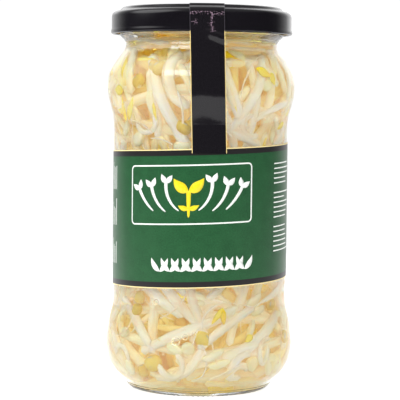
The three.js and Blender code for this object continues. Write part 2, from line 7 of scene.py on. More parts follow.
import bpy
import numpy as np
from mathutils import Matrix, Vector


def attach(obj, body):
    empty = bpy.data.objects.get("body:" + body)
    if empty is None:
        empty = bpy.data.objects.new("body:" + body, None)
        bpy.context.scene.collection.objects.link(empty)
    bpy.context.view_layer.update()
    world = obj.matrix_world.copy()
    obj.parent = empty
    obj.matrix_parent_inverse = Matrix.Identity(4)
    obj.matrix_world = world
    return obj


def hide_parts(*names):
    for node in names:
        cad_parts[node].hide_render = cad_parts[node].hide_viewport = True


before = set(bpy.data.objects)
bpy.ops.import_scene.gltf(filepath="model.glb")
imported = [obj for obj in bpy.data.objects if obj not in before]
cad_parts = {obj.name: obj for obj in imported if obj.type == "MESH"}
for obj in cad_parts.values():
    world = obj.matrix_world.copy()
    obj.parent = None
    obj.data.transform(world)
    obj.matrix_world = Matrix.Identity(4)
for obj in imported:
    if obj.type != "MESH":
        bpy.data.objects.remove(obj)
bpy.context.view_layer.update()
MM = 0.001

# The jar's outline, as (radius, height). What is called seen is a little finer
# than in the solids. The rest is the same as theirs, and the rule that places the sprouts goes by it.
FOOT_SEEN = [(22.2, 0.2), (22.9, 0), (23.6, 0), (24.4, 0), (25.1, 0.18), (25.7, 0.5), (26.2, 0.95)]
HEEL_LINES_SEEN = [
    (26.5, 1.3), (26.72, 1.55), (26.62, 1.68), (26.92, 1.88),
    (27.22, 2.3), (27.12, 2.43), (27.45, 2.7), (27.9, 3.4),
]
LOWER_BULGE = [(28.4, 4.2), (31.3, 6.9), (33.6, 11.3), (34.4, 17.0), (33.7, 24.2), (32.1, 31.2), (31.9, 38.0)]
UPPER_BULGE = [
    (31.9, 90.5), (31.9, 95.5), (33.2, 102.6), (34.3, 109.6), (33.9, 115.8), (31.0, 120.7), (28.4, 124.2),
    (27.7, 126.8),
]
UPPER_BULGE_SEEN = [
    (31.9, 90.5), (31.92, 94.0), (32.05, 97.6), (32.6, 101.2), (33.45, 104.4), (34.2, 107.6), (34.45, 110.4),
    (34.3, 113.2), (33.7, 116.2), (31.0, 120.7), (28.4, 124.2), (27.7, 126.8),
]
BEAD = [(28.6, 128.2), (29.9, 129.4), (30.1, 130.4), (29.2, 131.2), (29.0, 132.2)]
RIM = [(29.0, 135.8), (28.7, 136.6), (28.1, 136.9), (26.7, 136.9), (26.0, 136.6), (25.7, 135.9)]
FINISH_RADIUS, FINISH_LOW, FINISH_HIGH, FINISH_STEP = 29.0, 132.4, 135.8, 0.25
PANEL_RADIUS = 31.9
WALL = 2.4
BORE = (25.3, 127.0)
FLOOR_EDGE, FLOOR_EDGE_SEEN, FLOOR_SEEN = (23.6, 4.4), (25.7, 1.9), [(15, 3.1), (0, 3.8)]
PUSH_UP_SEEN = [(0, 2.2), (8, 2.1), (16, 1.7), (20.6, 0.8)]
RULE_SPANS = 5

# The room for the sprouts, and how they lie: the rule that the solids follow, with the same draws
COLUMN_RADIUS = 13.6
ROOM_LOW, ROOM_HIGH = 7.2, 123.2
CLEAR, CONTACT, BURIED = 0.42, -0.9, -1.3
MOST_BURIED, MOST_BURIED_LISTED = 0.34, 0.6
BEAN_RINGS = 20
SAMPLE_STEP = 1.5
LAYER = 2.6
SEED = 20417
MOST_REACH = 2.6
HEAD_DIP = 0.2
HEAD_BALLS = {"halves": [(1.6, 2.4), (4.4, 2.2)], "leafy": [(1.6, 2.4), (4.4, 2.2), (7.4, 1.6)]}
TURN_PER_SPAN, SPANS_LEAST, SPANS_MOST = 28, 3, 7
TRIES_PER_BUNCH = 260
LISTED_PASSES = 3
NUDGES_BACK, NUDGES_UP = (0, 0.9, 1.8, 2.7), (0, 1.2, -1.2, 2.4, -2.4)

# Rows of bunches: name, height, how many round the jar, turn, depth, sprouts in each, most lean
BUNCH_ROWS = [
    ("low", 24, 4, 0, 0, 5, 80),
    ("middle", 64, 4, 45, 0, 4, 50),
    ("high", 103, 4, 0, 0, 5, 75),
    ("inner_low", 34, 3, 30, 7.8, 2, 70),
    ("inner_high", 94, 3, 90, 7.8, 2, 70),
]


def listed(at, height, lean, length, bend, depth, thick, end=None):
    """One sprout: its place, its lean from upright to the right, its whole bend, its depth behind the
    glass, and whether it ends in a root, in seed halves or in young leaves."""
    return dict(
        at=at, height=height, lean=lean, length=length, bend=bend, depth=depth, thick=thick,
        head=None if end == "root" else end, root=end == "root",
    )


FRONT_LOW = [listed(*row) for row in [
    (0, 23, 5, 32, 10, 5.2, 3.8), (-27, 31, 82, 46, 12, 2.6, 3.8), (24, 29, -80, 46, 14, 2.6, 3.8),
    (-22, 16, -80, 44, -14, 2.6, 3.8), (31, 16.5, 84, 44, 12, 2.6, 3.8), (-11, 23, 67, 34, 10, 0, 3.8),
    (-35, 27, -2, 32, 12, 2.6, 3.6), (-48, 25.5, -45, 26, -8, 0, 3.7), (-36, 38, -52, 30, 10, 0, 4.0),
    (-17, 35.5, -40, 32, 8, 0, 4.0, "root"), (-5, 37, -16, 34, 5, 0, 3.8), (10, 35, 24, 34, -10, 2.6, 3.4),
    (44, 21, 62, 31, -12, 0, 4.4), (20, 25.5, 56, 26, 12, 0, 3.4), (16, 32.5, -60, 15, -70, 0, 3.0, "leafy"),
    (10, 13.5, 77, 32, 8, 2.6, 2.4), (-13, 10.5, 52, 24, -50, 0, 3.6),
    (42, 12.5, 100, 15, 60, 0, 3.0, "halves"), (28, 11.5, 20, 16, 150, 0, 3.0),
]]
FRONT_HIGH = [listed(*row) for row in [
    (2, 106, -8, 32, 10, 5.2, 3.8), (-30, 108, 80, 48, 12, 2.6, 3.8), (30, 104, -80, 48, -14, 2.6, 3.8),
    (-20, 96, -82, 46, 12, 2.6, 3.8), (16, 116, 84, 40, 12, 2.6, 3.8), (-17, 113.5, -10, 24, 115, 0, 4.2),
    (-21, 101, -26, 44, 12, 0, 4.2), (-15, 118.5, 40, 18, 20, 2.6, 3.6),
    (-54, 101, -22, 26, -14, 0, 2.8, "leafy"), (-35, 104, 172, 24, 10, 0, 3.2, "leafy"),
    (20, 112, -20, 36, 12, 0, 4.2), (37, 108, 30, 30, -10, 0, 3.8),
    (58, 107, 4, 26, 10, 2.6, 3.8), (29, 94.5, -62, 28, 6, 0, 3.8), (46, 92.5, 48, 28, -8, 2.6, 3.8),
    (-27, 91, -14, 30, 14, 2.6, 4.0), (50, 117, -60, 16, -50, 0, 3.0, "leafy"),
]]

# Green beans as (angle, height, roll), then those that the solids leave out as (angle, height, roll, size)
BEANS = [
    (-44, 32.6, 20), (-31, 13.2, 75), (68, 25.0, 10), (-30, 116.6, 50), (-12.5, 97.4, 35),
    (118, 30.0, 70), (162, 96.0, 15), (-118, 108.0, 40), (-150, 22.0, 80),
]
EXTRA_BEANS = [
    (2.7, 21.4, 150, 1.3), (-31.2, 116.6, 60, 1.1), (-36.2, 117.6, 10, 0.8), (-12.6, 96.4, 125, 1.2),
    (74.6, 19.6, 20, 0.9), (-49.3, 30.4, 20, 1.0), (-33.4, 12.6, 75, 1.3),
]
BEAN_LONG, BEAN_WIDE, BEAN_DEEP = 5.2, 4.2, 4.0

# Surfaces

def spline(points, spans):
    """A curve through points with, at each, the slope between its neighbours: one cubic per stretch, in all
    spans + 1 points at even steps of the point count."""
    points = np.array(points, float)
    last = len(points) - 1
    place = np.linspace(0, last, spans + 1)
    start = np.minimum(place.astype(int), last)
    t = (place - start)[:, None]
    p0, p1, p2, p3 = (points[np.clip(start + k, 0, last)] for k in (-1, 0, 1, 2))
    v0, v1 = (p2 - p0) / 2, (p3 - p1) / 2
    return (2 * p1 - 2 * p2 + v0 + v1) * t**3 + (-3 * p1 + 3 * p2 - 2 * v0 - v1) * t**2 + v0 * t + p1


def inwards(points, distance):
    """The outline moved square to itself, to the left of its way."""
    points = np.array(points, float)
    way = unit(np.vstack([points[1:], points[-1:]]) - np.vstack([points[:1], points[:-1]]))
    return points + distance * np.column_stack([-way[:, 1], way[:, 0]])


def around(radius, angle, height):
    """Points at angles round the jar, in degrees."""
    turn = np.radians(angle)
    return np.stack(np.broadcast_arrays(radius * np.sin(turn), -radius * np.cos(turn), height), axis=-1)


def full_turn(sides):
    """Angles all the way round at even steps, in radians."""
    return np.linspace(0, 2 * np.pi, sides, endpoint=False)


def unit(vectors):
    """Vectors of length one along those given."""
    return vectors / np.linalg.norm(vectors, axis=-1, keepdims=True)


def placed(name, data):
    """A new object in the scene."""
    piece = bpy.data.objects.new(name, data)
    bpy.context.scene.collection.objects.link(piece)
    return piece


class Batch:
    """Grids of points gathered into one mesh. Each grid is rings of points, each ring closed on itself."""

    def __init__(self):
        self.points, self.quads, self.fans, self.looks, self.fan_looks, self.grain = ([] for _ in range(6))
        self.count = 0

    def add(self, rings, look=0, grain=None, closed=False):
        """Skins rings[i, j]. The ends get a point at their middle, or the last ring joins the first if
        closed. look is one finish for all, or a column with one for each row of faces."""
        rows, columns = rings.shape[:2]
        ends = [] if closed else [0, -1]
        points = np.vstack([rings.reshape(-1, 3), *[rings[end].mean(0)[None] for end in ends]])
        index = np.arange(rows * columns).reshape(rows, columns)
        below, above = (index, np.roll(index, -1, 0)) if closed else (index[:-1], index[1:])
        right = lambda grid: np.roll(grid, -1, 1)
        quads = np.stack([below, right(below), right(above), above], -1).reshape(-1, 4)
        first, last, middle = index[:1], index[-1:], np.full((1, columns), rows * columns)
        fans = np.stack([
            np.vstack([right(first), last]), np.vstack([first, right(last)]), np.vstack([middle, middle + 1]),
        ], -1).reshape(-1, 3)[: 0 if closed else None]
        a, b, c, d = (points[quads[:, k]] for k in range(4))
        e, f, g = (points[fans[:, k]] for k in range(3))
        volume = np.einsum("ij,ij->", a, np.cross(b, c) + np.cross(c, d))
        volume += np.einsum("ij,ij->", e, np.cross(f, g))
        if volume < 0:
            quads, fans = quads[:, ::-1], fans[:, ::-1]
        grain = (np.zeros(rings.shape) if grain is None else grain).reshape(-1, 3)
        self.grain.append(np.vstack([grain, grain[ends]]))
        self.points.append(points)
        self.quads.append(quads + self.count)
        self.fans.append(fans + self.count)
        self.looks.append(np.broadcast_to(look, below.shape).ravel())
        self.fan_looks.append(np.repeat(self.looks[-1][[0, -1]], len(fans) // 2))
        self.count += len(points)
        return self

    def object(self, name, materials, slot, sharp=None, replaces=()):
        """Makes the object: it rides on the one body and takes the materials given. slot is not used."""
        points = np.vstack(self.points) * MM
        quads, fans = np.vstack(self.quads), np.vstack(self.fans)
        mesh = bpy.data.meshes.new(name)
        mesh.vertices.add(len(points))
        mesh.vertices.foreach_set("co", points.ravel())
        mesh.loops.add(quads.size + fans.size)
        mesh.loops.foreach_set("vertex_index", np.concatenate([quads.ravel(), fans.ravel()]).astype(np.int32))
        mesh.polygons.add(len(quads) + len(fans))
        sizes = np.concatenate([np.full(len(quads), 4), np.full(len(fans), 3)])
        mesh.polygons.foreach_set("loop_start", (np.cumsum(sizes) - sizes).astype(np.int32))
        finishes = np.concatenate(self.looks + self.fan_looks)
        mesh.polygons.foreach_set("material_index", finishes.astype(np.int32))
        mesh.update(calc_edges=True)
        grain = mesh.attributes.new("grain", "FLOAT_VECTOR", "POINT")
        grain.data.foreach_set("vector", np.vstack(self.grain).ravel())
        mesh.validate()
        mesh.shade_smooth()
        if sharp:
            mesh.set_sharp_from_angle(angle=np.radians(sharp))
        piece = placed(name, mesh)
        for look in materials:
            mesh.materials.append(look)
        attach(piece, "root")
        if replaces:
            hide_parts(*replaces)


def revolved(outline, sides, bump=None):
    """An outline of (radius, height) turned about Z, moved outwards by bump(angle, height, radius)."""
    outline = np.array(outline, float)
    angle = np.linspace(0, 360, sides, endpoint=False)
    radius = np.repeat(outline[:, :1], sides, 1)
    if bump is not None:
        radius = radius + bump(angle[None, :], outline[:, 1:], radius)
    return around(radius, angle[None, :], outline[:, 1:])


def lobe(place, axes, along, across, deep):
    """Rings round a line: place + way * along[i] + width * across[i, j] + out * deep[i, j]."""
    way, width, out = axes
    return place + way * along[:, None, None] + width * across[..., None] + out * deep[..., None]


def grained(round_mm, along_mm, number=0.0):
    """The grain of a grid: millimetres round it and along it, and a number of its own."""
    return np.stack(np.broadcast_arrays(round_mm, along_mm, np.float64(number)), -1)


# Materials

def linear(code):
    """An sRGB hex colour as linear RGBA."""
    value = np.array([int(code[k : k + 2], 16) for k in (1, 3, 5)]) / 255
    return (*np.where(value <= 0.04045, value / 12.92, ((value + 0.055) / 1.055) ** 2.4), 1.0)


def add(tree, kind, inputs=(), out=0, **settings):
    """Adds a node with its settings, and gives one of its outputs, or all where out is None. Inputs are by
    name or in turn, each a value or the socket that feeds it."""
    node = tree.nodes.new("ShaderNode" + kind)
    for key, value in settings.items():
        setattr(node, key, value)
    for key, value in inputs.items() if isinstance(inputs, dict) else enumerate(inputs):
        if isinstance(value, bpy.types.NodeSocket):
            tree.links.new(value, node.inputs[key])
        else:
            node.inputs[key].default_value = value
    return node.outputs if out is None else node.outputs[out]


def new_look(name):
    """A new material and its empty node tree."""
    look = bpy.data.materials.new(name)
    look.use_nodes = True
    look.node_tree.nodes.clear()
    return look, look.node_tree


def finished(look, **ends):
    """The material, with what feeds its output."""
    add(look.node_tree, "OutputMaterial", ends, None)
    return look


def ramp(tree, factor, *stops):
    """Colours along a factor, as (place, hex)."""
    colour = add(tree, "ValToRGB", [factor])
    row = colour.node.color_ramp.elements
    while len(row) < len(stops):
        row.new(0.5)
    for element, (place, code) in zip(row, stops):
        element.position = place
        element.color = linear(code)
    return colour


def per_mm(size):
    """The noise scale, in Object coordinates, whose blobs are this many millimetres wide."""
    return 1 / (size * MM)


def container_glass():
    """Soda-lime glass blown in a mould: clear, hard gloss, with long soft ripples that bend the view."""
    look, tree = new_look("blown soda-lime glass")
    place = add(tree, "TexCoord", out="Object")
    ripple = add(tree, "TexNoise", {"Vector": place, "Scale": per_mm(9), "Detail": 1.0})
    bump = add(tree, "Bump", {"Height": ripple, "Strength": 0.12, "Distance": 0.2 * MM})
    return finished(look, Surface=add(tree, "BsdfPrincipled", {
        "Base Color": linear("#fbfdfa"), "Roughness": 0.0, "IOR": 1.5, "Transmission Weight": 1.0,
        "Normal": bump,
    }))


def pickling_brine():
    """Vinegar brine, strained and clear: pale gold that deepens with the distance seen through it."""
    look, tree = new_look("clear golden brine")
    body = add(tree, "BsdfPrincipled", {
        "Base Color": linear("#ffffff"), "Roughness": 0.0, "IOR": 1.34, "Transmission Weight": 1.0,
    })
    gold = add(tree, "VolumeAbsorption", {"Color": (0.99, 0.91, 0.0, 1.0), "Density": 42.0})
    return finished(look, Surface=body, Volume=gold)


def air_bubble():
    """Air trapped in the brine: a clear bead whose rim glows as a bright ring, a painted highlight made by
    emission.
    """
    look, tree = new_look("air bubble in brine")
    rim = add(tree, "LayerWeight", {"Blend": 0.5}, "Facing")
    # painted highlight: emission that grows towards the bubble's rim
    ring = add(tree, "MapRange", {"Value": rim, "From Min": 0.55, "From Max": 0.75, "To Max": 0.9})
    return finished(look, Surface=add(tree, "BsdfPrincipled", {
        "Base Color": linear("#ffffff"), "Roughness": 0.0, "IOR": 0.8, "Transmission Weight": 1.0,
        "Emission Color": linear("#fff8e4"), "Emission Strength": ring,
    }))


def lid_lacquer():
    """Black enamel stoved on tinplate: deep gloss with a fine orange peel."""
    look, tree = new_look("black stoved enamel")
    place = add(tree, "TexCoord", out="Object")
    peel = add(tree, "TexNoise", {"Vector": place, "Scale": per_mm(1.2), "Detail": 2.0})
    wear = add(tree, "TexNoise", {"Vector": place, "Scale": per_mm(14), "Detail": 4.0})
    return finished(look, Surface=add(tree, "BsdfPrincipled", {
        "Base Color": ramp(tree, wear, (0.3, "#100e13"), (0.7, "#151318")), "IOR": 1.5,
        "Roughness": add(tree, "MapRange", {"Value": wear, "To Min": 0.1, "To Max": 0.24}),
        "Normal": add(tree, "Bump", {"Height": peel, "Strength": 0.1, "Distance": 0.05 * MM}),
    }))


def inside_lacquer():
    """Gold food-can lacquer stoved on tinplate, inside the lid: warm and half bright, with a fine grain."""
    look, tree = new_look("gold lacquer on tinplate")
    place = add(tree, "TexCoord", out="Object")
    grain = add(tree, "TexNoise", {"Vector": place, "Scale": per_mm(0.8), "Detail": 3.0})
    return finished(look, Surface=add(tree, "BsdfPrincipled", {
        "Base Color": ramp(tree, grain, (0.3, "#e6c878"), (0.7, "#f2dc9c")),
        "Roughness": 0.3, "Metallic": 0.4,
    }))


def sealing_compound():
    """Flowed-in PVC sealing compound: soft, matte, off-white."""
    look, tree = new_look("flowed-in sealing compound")
    place = add(tree, "TexCoord", out="Object")
    cloud = add(tree, "TexNoise", {"Vector": place, "Scale": per_mm(3), "Detail": 3.0})
    return finished(look, Surface=add(tree, "BsdfPrincipled", {
        "Base Color": ramp(tree, cloud, (0.3, "#d2ccbd"), (0.7, "#e1dccf")), "Roughness": 0.6,
    }))


def printed_label():
    """Coated paper printed green with a black line at its top and bottom, and past those a hair of edge
    painted pale gold, a painted highlight for the golden light along the label's edges. The grain attribute
    holds millimetres round and up the label."""
    look, tree = new_look("coated label paper, printed")
    sheet = add(tree, "Attribute", out="Vector", attribute_name="grain")
    up = add(tree, "SeparateXYZ", [sheet], "Y")
    off = add(tree, "Math", [up, LABEL_TALL / 2], operation="SUBTRACT")
    off = add(tree, "Math", [off], operation="ABSOLUTE")
    cloud = add(tree, "TexNoise", {"Vector": sheet, "Scale": 1 / 4.0, "Detail": 3.0})
    screen = add(tree, "TexNoise", {"Vector": sheet, "Scale": 1 / 0.5, "Detail": 2.0})
    green = ramp(tree, cloud, (0.25, "#1c4e2c"), (0.75, "#235833"))
    tooth = add(tree, "MapRange", {"Value": screen, "To Min": 0.6, "To Max": 1.4})
    colour = add(tree, "VectorMath", [green, tooth], operation="MULTIPLY")
    # the black line, then the edge hair past it painted pale gold as a highlight
    for inset, ink in ((LABEL_LINE, "#211f20"), (LABEL_GOLD_EDGE, "#f7e4a6")):
        past = add(tree, "Math", [off, LABEL_TALL / 2 - inset], operation="GREATER_THAN")
        inks = {"Factor": past, "A": colour, "B": linear(ink)}
        colour = add(tree, "Mix", inks, "Result", data_type="RGBA")
    return finished(look, Surface=add(tree, "BsdfPrincipled", {
        "Base Color": colour, "Roughness": 0.34, "Specular IOR Level": 0.3,
        "Normal": add(tree, "Bump", {"Height": screen, "Strength": 0.2, "Distance": 0.04 * MM}),
    }))


def printing_ink(name, light, dark):
    """Offset ink on coated paper: flat and even, with a faint mottle."""
    look, tree = new_look(name)
    sheet = add(tree, "Attribute", out="Vector", attribute_name="grain")
    mottle = add(tree, "TexNoise", {"Vector": sheet, "Scale": 1 / 0.8, "Detail": 2.0})
    return finished(look, Surface=add(tree, "BsdfPrincipled", {
        "Base Color": ramp(tree, mottle, (0.3, dark), (0.7, light)), "Roughness": 0.36,
    }))


def seal_film():
    """Black printed seal film: glossy, with faint creases, and a hair of clear film along its edges whose
    colour
    is painted: golden over the glass for the brine's light behind it, grey over the lid for the lid seen
    through it. A speckle of pale pink is a painted highlight where the creases over the lid catch the light:
    down one line, over one across it and in a patch. grain is millimetres across, then along."""
    look, tree = new_look("black printed seal film")
    strip = add(tree, "Attribute", out="Vector", attribute_name="grain")
    parts = add(tree, "SeparateXYZ", [strip], None)
    crease = add(tree, "TexNoise", {"Vector": strip, "Scale": 1 / 6.0, "Detail": 3.0})
    speckle = add(tree, "TexNoise", {"Vector": strip, "Scale": 1 / 0.38, "Detail": 3.0})
    wander = add(tree, "Math", [crease, GLINT_WANDER, -GLINT_WANDER / 2], operation="MULTIPLY_ADD")
    lines = add(tree, "VectorMath", [strip, (GLINT_LINE_ACROSS, CREASE_GLINT_HIGH, 0)], operation="SUBTRACT")
    lines = add(tree, "VectorMath", [lines, wander], operation="ADD")
    lines = add(tree, "VectorMath", [lines], operation="ABSOLUTE")
    lines = add(tree, "VectorMath", [lines, GLINT_HALVES], operation="SUBTRACT")
    lines = add(tree, "VectorMath", [lines, (0, 0, 0)], operation="MAXIMUM")
    off_lines = add(tree, "SeparateXYZ", [lines], None)
    aside = add(tree, "VectorMath", [strip, GLINT_PATCH], operation="SUBTRACT")
    aside = add(tree, "VectorMath", [aside], operation="ABSOLUTE")
    aside = add(tree, "VectorMath", [aside, (1, 1, 0)], "Value", operation="DOT_PRODUCT")
    aside = add(tree, "Math", [aside, GLINT_PATCH_HALF], operation="SUBTRACT")
    aside = add(tree, "Math", [aside, GLINT_PATCH_LEAST], operation="MAXIMUM")
    near = add(tree, "Math", [off_lines["X"], off_lines["Y"]], operation="MINIMUM")
    near = add(tree, "Math", [near, aside], operation="MINIMUM")
    least = add(tree, "Math", [near, 0.16, 0.52], operation="MULTIPLY_ADD")
    # pale pink painted as a highlight on the creases over the lid, broken up by a fine speckle
    on_lid = add(tree, "Math", [parts["Y"], CREASE_GLINT_HIGH - 3.2, 3.8], operation="COMPARE")
    over = add(tree, "Math", [speckle, least], operation="SUBTRACT")
    painted_glint = add(tree, "Math", [on_lid, over], operation="MULTIPLY")
    glint_share = add(tree, "MapRange", {"Value": painted_glint, "From Max": 0.07})
    black = ramp(tree, speckle, (0.3, "#131115"), (0.75, "#1b191d"))
    glint_inks = {"Factor": glint_share, "A": black, "B": linear("#a48a9c")}
    inked = add(tree, "Mix", glint_inks, "Result", data_type="RGBA")
    # the clear edge hairs are painted: golden over the glass for the brine's light behind them, grey over the
    # lid for the lid seen through them
    off = add(tree, "Math", [parts["X"]], operation="ABSOLUTE")
    edge = add(tree, "Math", [off, STRIP_WIDTH / 2 - STRIP_BARE], operation="GREATER_THAN")
    lid_share = add(tree, "MapRange", {"Value": parts["Y"], "From Min": HEM_ALONG, "From Max": HEM_ALONG + 1})
    edge_seen_through = ramp(tree, lid_share, (0.2, "#f6dc94"), (0.8, "#3e3b41"))
    colour = add(tree, "Mix", {"Factor": edge, "A": inked, "B": edge_seen_through}, "Result", data_type="RGBA")
    return finished(look, Surface=add(tree, "BsdfPrincipled", {
        "Base Color": colour, "Roughness": 0.14, "Specular IOR Level": 0.34,
        "Normal": add(tree, "Bump", {"Height": crease, "Strength": 0.25, "Distance": 0.3 * MM}),
    }))


def plant_flesh(name, stops, passed_on, glow=0.14, gloss=0.36, fibre=0.35, through=0.6):
    """Blanched plant tissue: moist and see-through, with fine fibres along it. Its faint golden glow
    stands for the light that neighbours pass on to each other. grain holds millimetres round and along the
    piece and a number of its own for each."""
    look, tree = new_look(name)
    grain = add(tree, "Attribute", out="Vector", attribute_name="grain")
    long = add(tree, "Mapping", {"Vector": grain, "Scale": (1.6, 0.16, 1.0)})
    fibres = add(tree, "TexNoise", {"Vector": long, "Scale": 1.0, "Detail": 4.0, "Roughness": 0.6})
    wide = add(tree, "Mapping", {"Vector": grain, "Scale": (0.12, 0.06, 7.3)})
    patches = add(tree, "TexNoise", {"Vector": wide, "Scale": 1.0, "Detail": 2.0})
    mixed = add(tree, "Math", [fibres, 0.45, patches], operation="MULTIPLY_ADD")
    return finished(look, Surface=add(tree, "BsdfPrincipled", {
        "Base Color": ramp(tree, mixed, *stops), "Roughness": gloss, "IOR": 1.4,
        "Subsurface Weight": through, "Subsurface Radius": (1.0, 0.8, 0.5), "Subsurface Scale": 1.3 * MM,
        "Emission Color": linear(passed_on), "Emission Strength": glow,
        "Normal": add(tree, "Bump", {"Height": fibres, "Strength": fibre, "Distance": 0.12 * MM}),
    }))


def light_table():
    """An opal acrylic light table: white, lit from below. It fades out into the white behind it."""
    look, tree = new_look("opal acrylic light table")
    away = add(tree, "SeparateXYZ", [add(tree, "TexCoord", out="Object")], "Y")
    fade = add(tree, "MapRange", {"Value": away, "From Min": TABLE_FADE, "From Max": TABLE_BACK})
    top = add(tree, "BsdfPrincipled", {
        "Base Color": linear("#cfcfcf"), "Roughness": 0.6,
        "Emission Color": linear("#ffffff"), "Emission Strength": TABLE_GLOW,
    })
    return finished(look, Surface=add(tree, "MixShader", [fade, top, add(tree, "BsdfTransparent")]))


# Jar

LUGS, LUG_SPAN_DEG, LUG_REACH = 4, 48, 1.6
LUG_START, LUG_RISE, LUG_HEIGHT = 133.0, 1.1, 1.5
STIPPLES, STIPPLE_DEEP, STIPPLE_RADIUS = 88, 0.32, 24.0
JAR_SIDES, WALL_SPANS = 4 * STIPPLES, 32
THIN_SEEN, THIN_BELOW, THIN_OVER = 1.1, 15, 11
BRINE_LEVEL, INTO_WALL, OFF_FLOOR, OFF_CORNER = 131.6, 0.06, 0.05, 0.3


def inner_wall(spans, thin=0.0, floor=FLOOR_EDGE):
    """The inner wall from the floor's edge to the bore. The glass is thinner by thin towards the foot."""
    low = spline(LOWER_BULGE, spans)
    thick = WALL - thin * np.clip((THIN_BELOW - low[:, 1:]) / THIN_OVER, 0, 1)
    return np.vstack([[floor], inwards(low, thick), inwards(spline(UPPER_BULGE, spans), WALL), [BORE]])


INNER_WALL_SEEN = inner_wall(WALL_SPANS, THIN_SEEN, FLOOR_EDGE_SEEN)


def thread_bump(angle, height, radius):
    """Four sloped lugs on the finish: each a raised cosine across and flat with soft ends along its span."""
    share = (angle % (360 / LUGS)) / LUG_SPAN_DEG
    middle = LUG_START + LUG_RISE * share + LUG_HEIGHT / 2
    across = np.clip(1 - np.abs(height - middle) / (LUG_HEIGHT / 2 + 0.3), 0, 1)
    along = np.clip(6 * np.minimum(share, 1 - share), 0, 1)
    outside = (radius > 28.5) & (height > 132)
    return np.where(outside, LUG_REACH * np.sin(across * np.pi / 2) * np.sin(along * np.pi / 2), 0)


def glass_jar():
    """The outline turned about the axis, with the thread lugs raised from the finish and a ring of stipples
    pressed up into the foot."""
    finish_wall = [(FINISH_RADIUS, height) for height in np.arange(FINISH_LOW, FINISH_HIGH, FINISH_STEP)]
    outline = np.vstack([
        spline(PUSH_UP_SEEN, 12), spline(FOOT_SEEN, 26), HEEL_LINES_SEEN, spline(LOWER_BULGE, 40),
        spline(UPPER_BULGE_SEEN, 60), spline(BEAD, 16), finish_wall, spline(RIM, 14),
        INNER_WALL_SEEN[::-1], spline([FLOOR_EDGE_SEEN, *FLOOR_SEEN], 8)[1:],
    ])
    rings = revolved(outline, JAR_SIDES, thread_bump)
    angle = full_turn(JAR_SIDES)[None, :]
    on_foot = np.clip(1.4 - np.abs(outline[:, :1] - STIPPLE_RADIUS) / 1.1, 0, 1) * (outline[:, 1:] < 1.2)
    rings[..., 2] += STIPPLE_DEEP * on_foot * (1 - np.cos(STIPPLES * angle)) / 2
    glass = Batch().add(rings)
    glass.object("glass_jar", [container_glass()], "glass", sharp=50, replaces=["jar"])


def brine_fill():
    """The brine: the jar's inside turned about the axis up to the brine's level. It reaches a hair into
    the wall, so that light passes straight from one to the other, and stops a hair above the floor."""
    wall = INNER_WALL_SEEN[INNER_WALL_SEEN[:, 1] < 127]
    top = [(25.3, 127.2), (25.3, -0.5), (25.25, 0), (24.6, -0.25), (12, -0.4), (0, -0.4)]
    neck = [(radius, height if height > 0 else BRINE_LEVEL + height) for radius, height in top]
    outline = np.vstack([FLOOR_SEEN[::-1], wall, neck])
    outline[3:, 0] += np.where(outline[3:, 0] > 12, INTO_WALL, 0)
    outline[:3, 1] += OFF_FLOOR
    outline[2, 0] -= OFF_CORNER
    brine = Batch().add(revolved(outline, 192))
    brine.object("brine_fill", [pickling_brine()], "brine", sharp=50, replaces=["brine"])


# Lid

HEM = 130.8
LID_OUTSIDE = [
    (0, 8.7), (8.6, 8.7), (9.4, 8.6), (10.0, 8.4), (10.6, 8.3), (24.0, 8.3), (24.8, 8.4), (26.0, 9.0),
    (27.0, 9.2), (28.4, 9.2), (29.1, 9.0), (29.5, 8.6), (29.9, 8.1), (30.4, 7.85), (31.5, 7.6), (32.3, 7.2),
    (32.85, 6.6), (33.1, 5.7), (33.1, 1.5), (33.12, 1.1), (33.32, 0.6), (33.35, 0.1), (33.2, -0.45),
    (32.8, -0.7), (32.4, -0.65),
]
LID_INSIDE = [
    (32.1, -0.3), (32.1, 0.2), (32.35, 0.7), (32.45, 2.0), (32.45, 5.4), (32.1, 6.3), (31.3, 6.95),
    (30.5, 7.2), (28.9, 7.3), (28.3, 7.7), (27.8, 8.4), (27.3, 8.55), (26.2, 8.5), (24.4, 7.8), (10.4, 7.75),
    (9.0, 8.1), (0, 8.1),
]


def lug_bump(angle, height, radius):
    """Four short inward lugs in the curl at the hem: a cosine hump round each."""
    hump = np.cos(np.clip((angle % 90 - 45) / 9, -1, 1) * np.pi / 2)
    return np.where((radius < 32.5) & (height < HEM + 1.4), -1.1 * hump, 0)


def twist_off_lid():
    """The sheet's outline, outside and inside, turned about the axis: black outside and gold within."""
    outline = np.array(LID_OUTSIDE + LID_INSIDE, float) + [0, HEM]
    inside = np.arange(len(outline) - 1)[:, None] >= len(LID_OUTSIDE)
    sheet = Batch().add(revolved(outline, 256, lug_bump), inside.astype(int))
    lacquers = [lid_lacquer(), inside_lacquer()]
    sheet.object("twist_off_lid", lacquers, "lid_lacquer", sharp=35, replaces=["lid"])


RING_RADIUS, RING_HIGH, RING_HALF_WIDE, RING_HALF_TALL = 28.25, 137.5, 1.93, 0.42
GROOVE_RADIUS, GROOVE_WIDE, GROOVE_SHARE = 27.4, 0.7, 0.25


def sealing_ring():
    """A flat oval section turned about the axis, with a shallow bell-shaped groove where the rim bites."""
    turn = full_turn(24)
    radius = RING_RADIUS + RING_HALF_WIDE * np.cos(turn)
    groove = GROOVE_SHARE * np.exp(-(((radius - GROOVE_RADIUS) / GROOVE_WIDE) ** 2))
    height = RING_HIGH + RING_HALF_TALL * np.sin(turn) * (1 - groove)
    angle = np.linspace(0, 360, 160, endpoint=False)
    ring = Batch().add(around(radius[None, :], angle[:, None], height[None, :]), closed=True)
    ring.object("sealing_ring", [sealing_compound()], "liner", replaces=["lid_liner"])


# Label

LABEL_LOW, LABEL_TALL = 39.95, 49.2
LABEL_SKEW = np.tan(np.radians(2.1))
LABEL_REACH_DEG = 174.6
